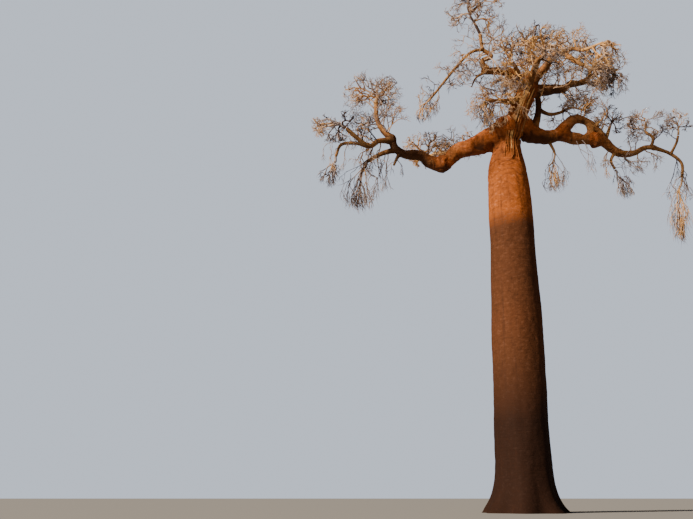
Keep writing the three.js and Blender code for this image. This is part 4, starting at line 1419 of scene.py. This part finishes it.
def side_twigs(carriers, wanted, first, finest, near, hang, longest):
    """Twigs on each carrier, turned aside by the seed and ended inside the space, or up to some
    share beyond it."""
    shorter = mix(SHORTER, THREAD_LENGTH, hang) if longest else SHORTER
    length = np.linalg.norm(carriers.points[:, -1] - carriers.points[:, 0], axis=-1) * shorter
    made = np.zeros(len(length), int)
    found = []
    for j in range(first, first + wanted * TRIES):
        todo = np.flatnonzero(made < wanted)
        on = chosen(carriers, todo)
        seeds = SIDE_SEED_SHARE * on.seeds + SIDE_SEED_STEP * j
        share = mix(NEAREST, FARTHEST, (j * SPREAD_RISE) % 1)
        places, headings = along(on.points, np.full(len(todo), share))
        aside = turned_aside(seeds, headings)
        fall = np.array([0, 0, -THREAD_FALL * hang]) if longest else 0
        ways = unit(aside * SPLAY * (1 - CLOSER * hang) + headings + fall)
        ends = places + ways * length[todo, None]
        limits = np.ones(len(todo))
        if longest:
            limits = mix(LEAST_REACH, longest, draw(seeds, LIMIT_DRAW))
        out = outness(on.middles, on.halves, ends) / (OUTWARD * limits)
        ends = np.where(out[:, None] > 1, on.middles + (ends - on.middles) / out[:, None], ends)
        radii = np.maximum(on.radii * SIDE_RADIUS, finest)
        points = shoot_points(seeds, places, ways, ends, hang)
        tried = Twigs(points, seeds, radii, on.sprays, on.middles, on.halves)
        good = fitting(tried, limits, near)
        made[todo[good]] += 1
        found.append(chosen(tried, good))
    return joined(found)


def finer_twigs(carriers, near, hang, levels):
    """The finer levels that grow on carriers, each with its sides and steps."""
    thickness = bpy.context.scene.baobab.twigs.thickness
    groups = []
    for wanted, sides, every, finest, longest in THREAD_LEVELS if hang >= 0.5 else levels:
        first = SIDE_TWIGS * TRIES
        carriers = side_twigs(carriers, wanted, first, finest * thickness, near, hang, longest)
        groups.append((carriers, sides, every))
    return groups


def grow_mass(name, neighbours):
    """All twigs of a mass, as groups with the sides and the steps that their mesh uses."""
    carrier, middle, half, hang, seed = MASSES[name]
    middle, half = np.array(middle), np.array(half)
    limb = CHAINS[carrier]
    heading = unit(limb.points[-1] - limb.points[-2])
    foot = limb.radii[-1]
    start = limb.points[-1] + heading * CLEARANCE
    through = start + heading * foot
    end = mix(middle, start, -PAST_MIDDLE)
    bent = shoot_points(np.array([seed]), through[None], heading[None], end[None], 0)[0]
    near = neighbours.near(middle - half * NEAR_MARGIN, middle + half * NEAR_MARGIN, name)
    stem_line = np.array([through, bent[2], bent[4]])
    first = first_twigs(middle, half, hang, seed, start, stem_line, foot, near)
    side = side_twigs(first, SIDE_TWIGS, 0, 0, near, hang, None)
    neighbours.remember(name, stem_line[None], np.full((1, 3), foot))
    for group in (first, side):
        neighbours.remember(name, group.points[:, ::2], np.repeat(group.radii[:, None], 3, 1))
    stem = Twigs(bent[None], np.array([seed]), np.array([foot]), np.array([0]),
                 middle[None], half[None])
    groups = [(stem, COARSE_SIDES, 1), (first, COARSE_SIDES, 1), (side, COARSE_SIDES, 1)]
    levels = SPARSE_LEVELS if half.mean() < SPARSE_SIZE else FINE_LEVELS
    return groups + finer_twigs(joined([stem, first, side]), near, hang, levels)


def grow_shoots(name, number, neighbours):
    """Shoots along a limb and their finer twigs. Each shoot has a round space of its own."""
    low, high, often, long, hang, lift = SHOOTS.get(name, USUAL_SHOOTS)
    line = CHAINS[name]
    shares = np.linspace(low, high, SHOOT_PLACES)
    places = along(np.repeat(line.points[None], SHOOT_PLACES, 0), shares)[0]
    count = max(2, round(often * runs_along(places)[-1]))
    i = np.arange(count)
    seeds = SHOOT_SEED + LIMB_SEED_STEP * number + FIRST_SEED_STEP * i
    shares = mix(low, high, (i + draw(seeds, SHARE_DRAW)) / count)
    places, headings = along(np.repeat(line.points[None], count, 0), shares)
    wide = np.interp(shares, np.linspace(0, 1, len(line.radii)), line.radii)
    aside = turned_aside(seeds, headings)
    ways = unit(aside + SHOOT_LEAN * headings + np.array([0, 0, lift]))
    length = (long * mix(*SHOOT_LENGTHS, draw(seeds, LENGTH_DRAW)) + wide)[:, None]
    ends = places + ways * length
    points = shoot_points(seeds, places, ways, ends, hang)
    radii = np.clip(wide * SHOOT_RADIUS, *SHOOT_RADII) * (1 - SHOOT_THINNER * hang)
    shoots = Twigs(points, seeds, radii, i, places + ways * length * SHOOT_MIDDLE,
                   np.repeat(length * SHOOT_SPACE, 3, 1))
    margin = long * NEAR_MARGIN
    box = places.min(0) - margin, places.max(0) + margin
    fits = fitting(shoots, np.full(count, SHOOT_LIMIT), neighbours.near(*box, name))
    shoots = chosen(shoots, fits)
    if not len(shoots.seeds):
        return []
    every = neighbours.near(*box, "")
    return [(shoots, SHOOT_SIDES, 1)] + finer_twigs(shoots, every, hang, FINE_LEVELS)


def tint_limits(places):
    """Running shares of the tints: golden round the trunk's top, then tan, and greyer out at the
    crown's edge."""
    away = np.linalg.norm(places - CHAINS["trunk"].points[-2], axis=-1)
    close, far = 1 - smoothstep(*CLOSE_TINTS, away), smoothstep(*FAR_TINTS, away)
    shares = [mix(*ends, far) for ends in TINTS.values()]
    shares[0] += CLOSE_GOLDEN * close
    return np.cumsum(shares, axis=0)


def group_arrays(groups):
    """Vertices, triangles and the tint of each triangle of some groups of twigs."""
    vertices, triangles, tints = [], [], []
    total = 0
    for twigs, sides, every in groups:
        if not len(twigs.seeds):
            continue
        points = twigs.points[:, ::every]
        shrink = mix(1, TIP_SHARE, np.linspace(0, 1, points.shape[1]))
        some, faces, each = twig_arrays(points, twigs.radii[:, None] * shrink, sides)
        limits = tint_limits(twigs.middles)
        spray = draw(twigs.middles[0, 0] + SPRAY_STEP * twigs.sprays, SPRAY_DRAW)
        stray = TINT_STRAY * (draw(twigs.seeds, TINT_DRAW) - 0.5)
        own = np.clip(spray + stray, 0, 0.999) * limits[-1]
        tints.append(np.repeat((own > limits).sum(axis=0), each))
        vertices.append(some)
        triangles.append(faces + total)
        total += len(some)
    return np.concatenate(vertices), np.concatenate(triangles), np.concatenate(tints)


def add_twigs(name, groups, nodes):
    """A piece of joined twigs, with their tints dealt out."""
    vertices, triangles, tints = group_arrays(groups)
    mesh = make_mesh(name, vertices, np.zeros((0, 4), int), triangles)
    piece = add_piece(mesh, twig_materials(), nodes)
    piece.data.polygons.foreach_set("material_index", tints.astype(np.int32))


class BAOBAB_OT_twigs(Operator):
    """Grow the masses of twigs from the boughs' tips, to finer twigs than the solids have"""

    bl_idname = "baobab.twigs"
    bl_label = "Twigs"

    def execute(self, context):
        neighbours = Neighbours()
        for name in MASSES:
            add_twigs(f"{name}_fine", grow_mass(name, neighbours), [name])
        return {"FINISHED"}


class BAOBAB_OT_shoots(Operator):
    """Grow shoots along the limbs, joined into one piece for each side of the crown"""

    bl_idname = "baobab.shoots"
    bl_label = "Shoots"

    def execute(self, context):
        neighbours = Neighbours()
        parts = {"left_shoots": [], "right_shoots": [], "top_shoots": []}
        for number, name in enumerate(CHAINS):
            side = name.split("_")[0]
            part = f"{side}_shoots" if side in ("left", "right") else "top_shoots"
            parts[part] += grow_shoots(name, number, neighbours)
        for part, groups in parts.items():
            add_twigs(part, groups, [])
        return {"FINISHED"}


class BAOBAB_OT_stage(Operator):
    """Make the floor, the surroundings, the key light and the camera"""

    bl_idname = "baobab.stage"
    bl_label = "Stage"

    def execute(self, context):
        settings = context.scene.baobab.stage
        self.make_floor(settings)
        self.make_light(context.scene, settings)
        self.make_camera(context.scene, settings)
        return {"FINISHED"}

    def make_floor(self, settings):
        """A square at ground level."""
        half = settings.floor_size / 2
        mesh = bpy.data.meshes.new("floor")
        corners = [(-half, -half, 0), (half, -half, 0), (half, half, 0), (-half, half, 0)]
        mesh.from_pydata(corners, [], [(0, 1, 2, 3)])
        floor = bpy.data.objects.new("floor", mesh)
        bpy.context.scene.collection.objects.link(floor)
        material, _, shader, _ = node_tree("floor_paint")
        shader.inputs["Base Color"].default_value = (*settings.floor_colour, 1)
        shader.inputs["Roughness"].default_value = FLOOR_ROUGHNESS
        mesh.materials.append(material)

    def make_light(self, scene, settings):
        """Plain pale surroundings, which light the tree less than they show, and a key light."""
        world = bpy.data.worlds.new("surroundings")
        world.use_nodes = True
        tree = world.node_tree
        background = tree.nodes["Background"]
        background.inputs["Color"].default_value = (*settings.sky_colour, 1)
        seen = tree.nodes.new("ShaderNodeLightPath")
        strength = tree.nodes.new("ShaderNodeMapRange")
        strength.inputs["To Min"].default_value = settings.fill_strength
        strength.inputs["To Max"].default_value = settings.sky_strength
        tree.links.new(seen.outputs["Is Camera Ray"], strength.inputs["Value"])
        tree.links.new(strength.outputs["Result"], background.inputs["Strength"])
        scene.world = world
        light = bpy.data.lights.new("key_light", "SUN")
        light.energy = settings.key_strength
        light.angle = settings.key_angle
        light.color = settings.key_colour
        key = bpy.data.objects.new("key_light", light)
        key.rotation_euler = Euler((math.pi / 2 - settings.key_rise, 0, -settings.key_side))
        scene.collection.objects.link(key)

    def make_camera(self, scene, settings):
        """A camera at eye level that looks up at the crown."""
        camera = bpy.data.cameras.new("camera")
        camera.lens = camera.sensor_width * settings.focal_pixels / settings.photo_width
        camera.clip_end = FARTHEST_SEEN
        view = bpy.data.objects.new("camera", camera)
        view.location = settings.camera_place
        view.rotation_euler = Euler((math.pi / 2 + settings.camera_tilt, 0, 0))
        scene.collection.objects.link(view)
        scene.camera = view


class BAOBAB_PT_parts(Panel):
    """Lists the operators and the settings"""

    bl_label = "Baobab tree"
    bl_idname = "BAOBAB_PT_parts"
    bl_space_type = "VIEW_3D"
    bl_region_type = "UI"
    bl_category = "Baobab"

    def draw(self, context):
        settings = context.scene.baobab
        for operator in OPERATORS:
            self.layout.operator(operator.bl_idname)
        for group in (settings.bark, settings.twigs, settings.stage):
            box = self.layout.box()
            for key in group.__annotations__:
                box.prop(group, key)


OPERATORS = [
    BAOBAB_OT_trunk, BAOBAB_OT_boughs, BAOBAB_OT_branches, BAOBAB_OT_strands, BAOBAB_OT_twigs,
    BAOBAB_OT_shoots, BAOBAB_OT_stage,
]
CLASSES = [BarkSettings, TwigSettings, StageSettings, BaobabSettings, *OPERATORS, BAOBAB_PT_parts]


def register():
    """Registers the classes and the settings."""
    for cls in CLASSES:
        bpy.utils.register_class(cls)
    bpy.types.Scene.baobab = PointerProperty(type=BaobabSettings)


def unregister():
    """Removes the settings and the classes."""
    del bpy.types.Scene.baobab
    for cls in reversed(CLASSES):
        bpy.utils.unregister_class(cls)


def main():
    """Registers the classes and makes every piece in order."""
    register()
    bpy.ops.baobab.trunk()
    bpy.ops.baobab.boughs()
    bpy.ops.baobab.branches()
    bpy.ops.baobab.strands()
    bpy.ops.baobab.twigs()
    bpy.ops.baobab.shoots()
    bpy.ops.baobab.stage()


if __name__ == "__main__":
    main()
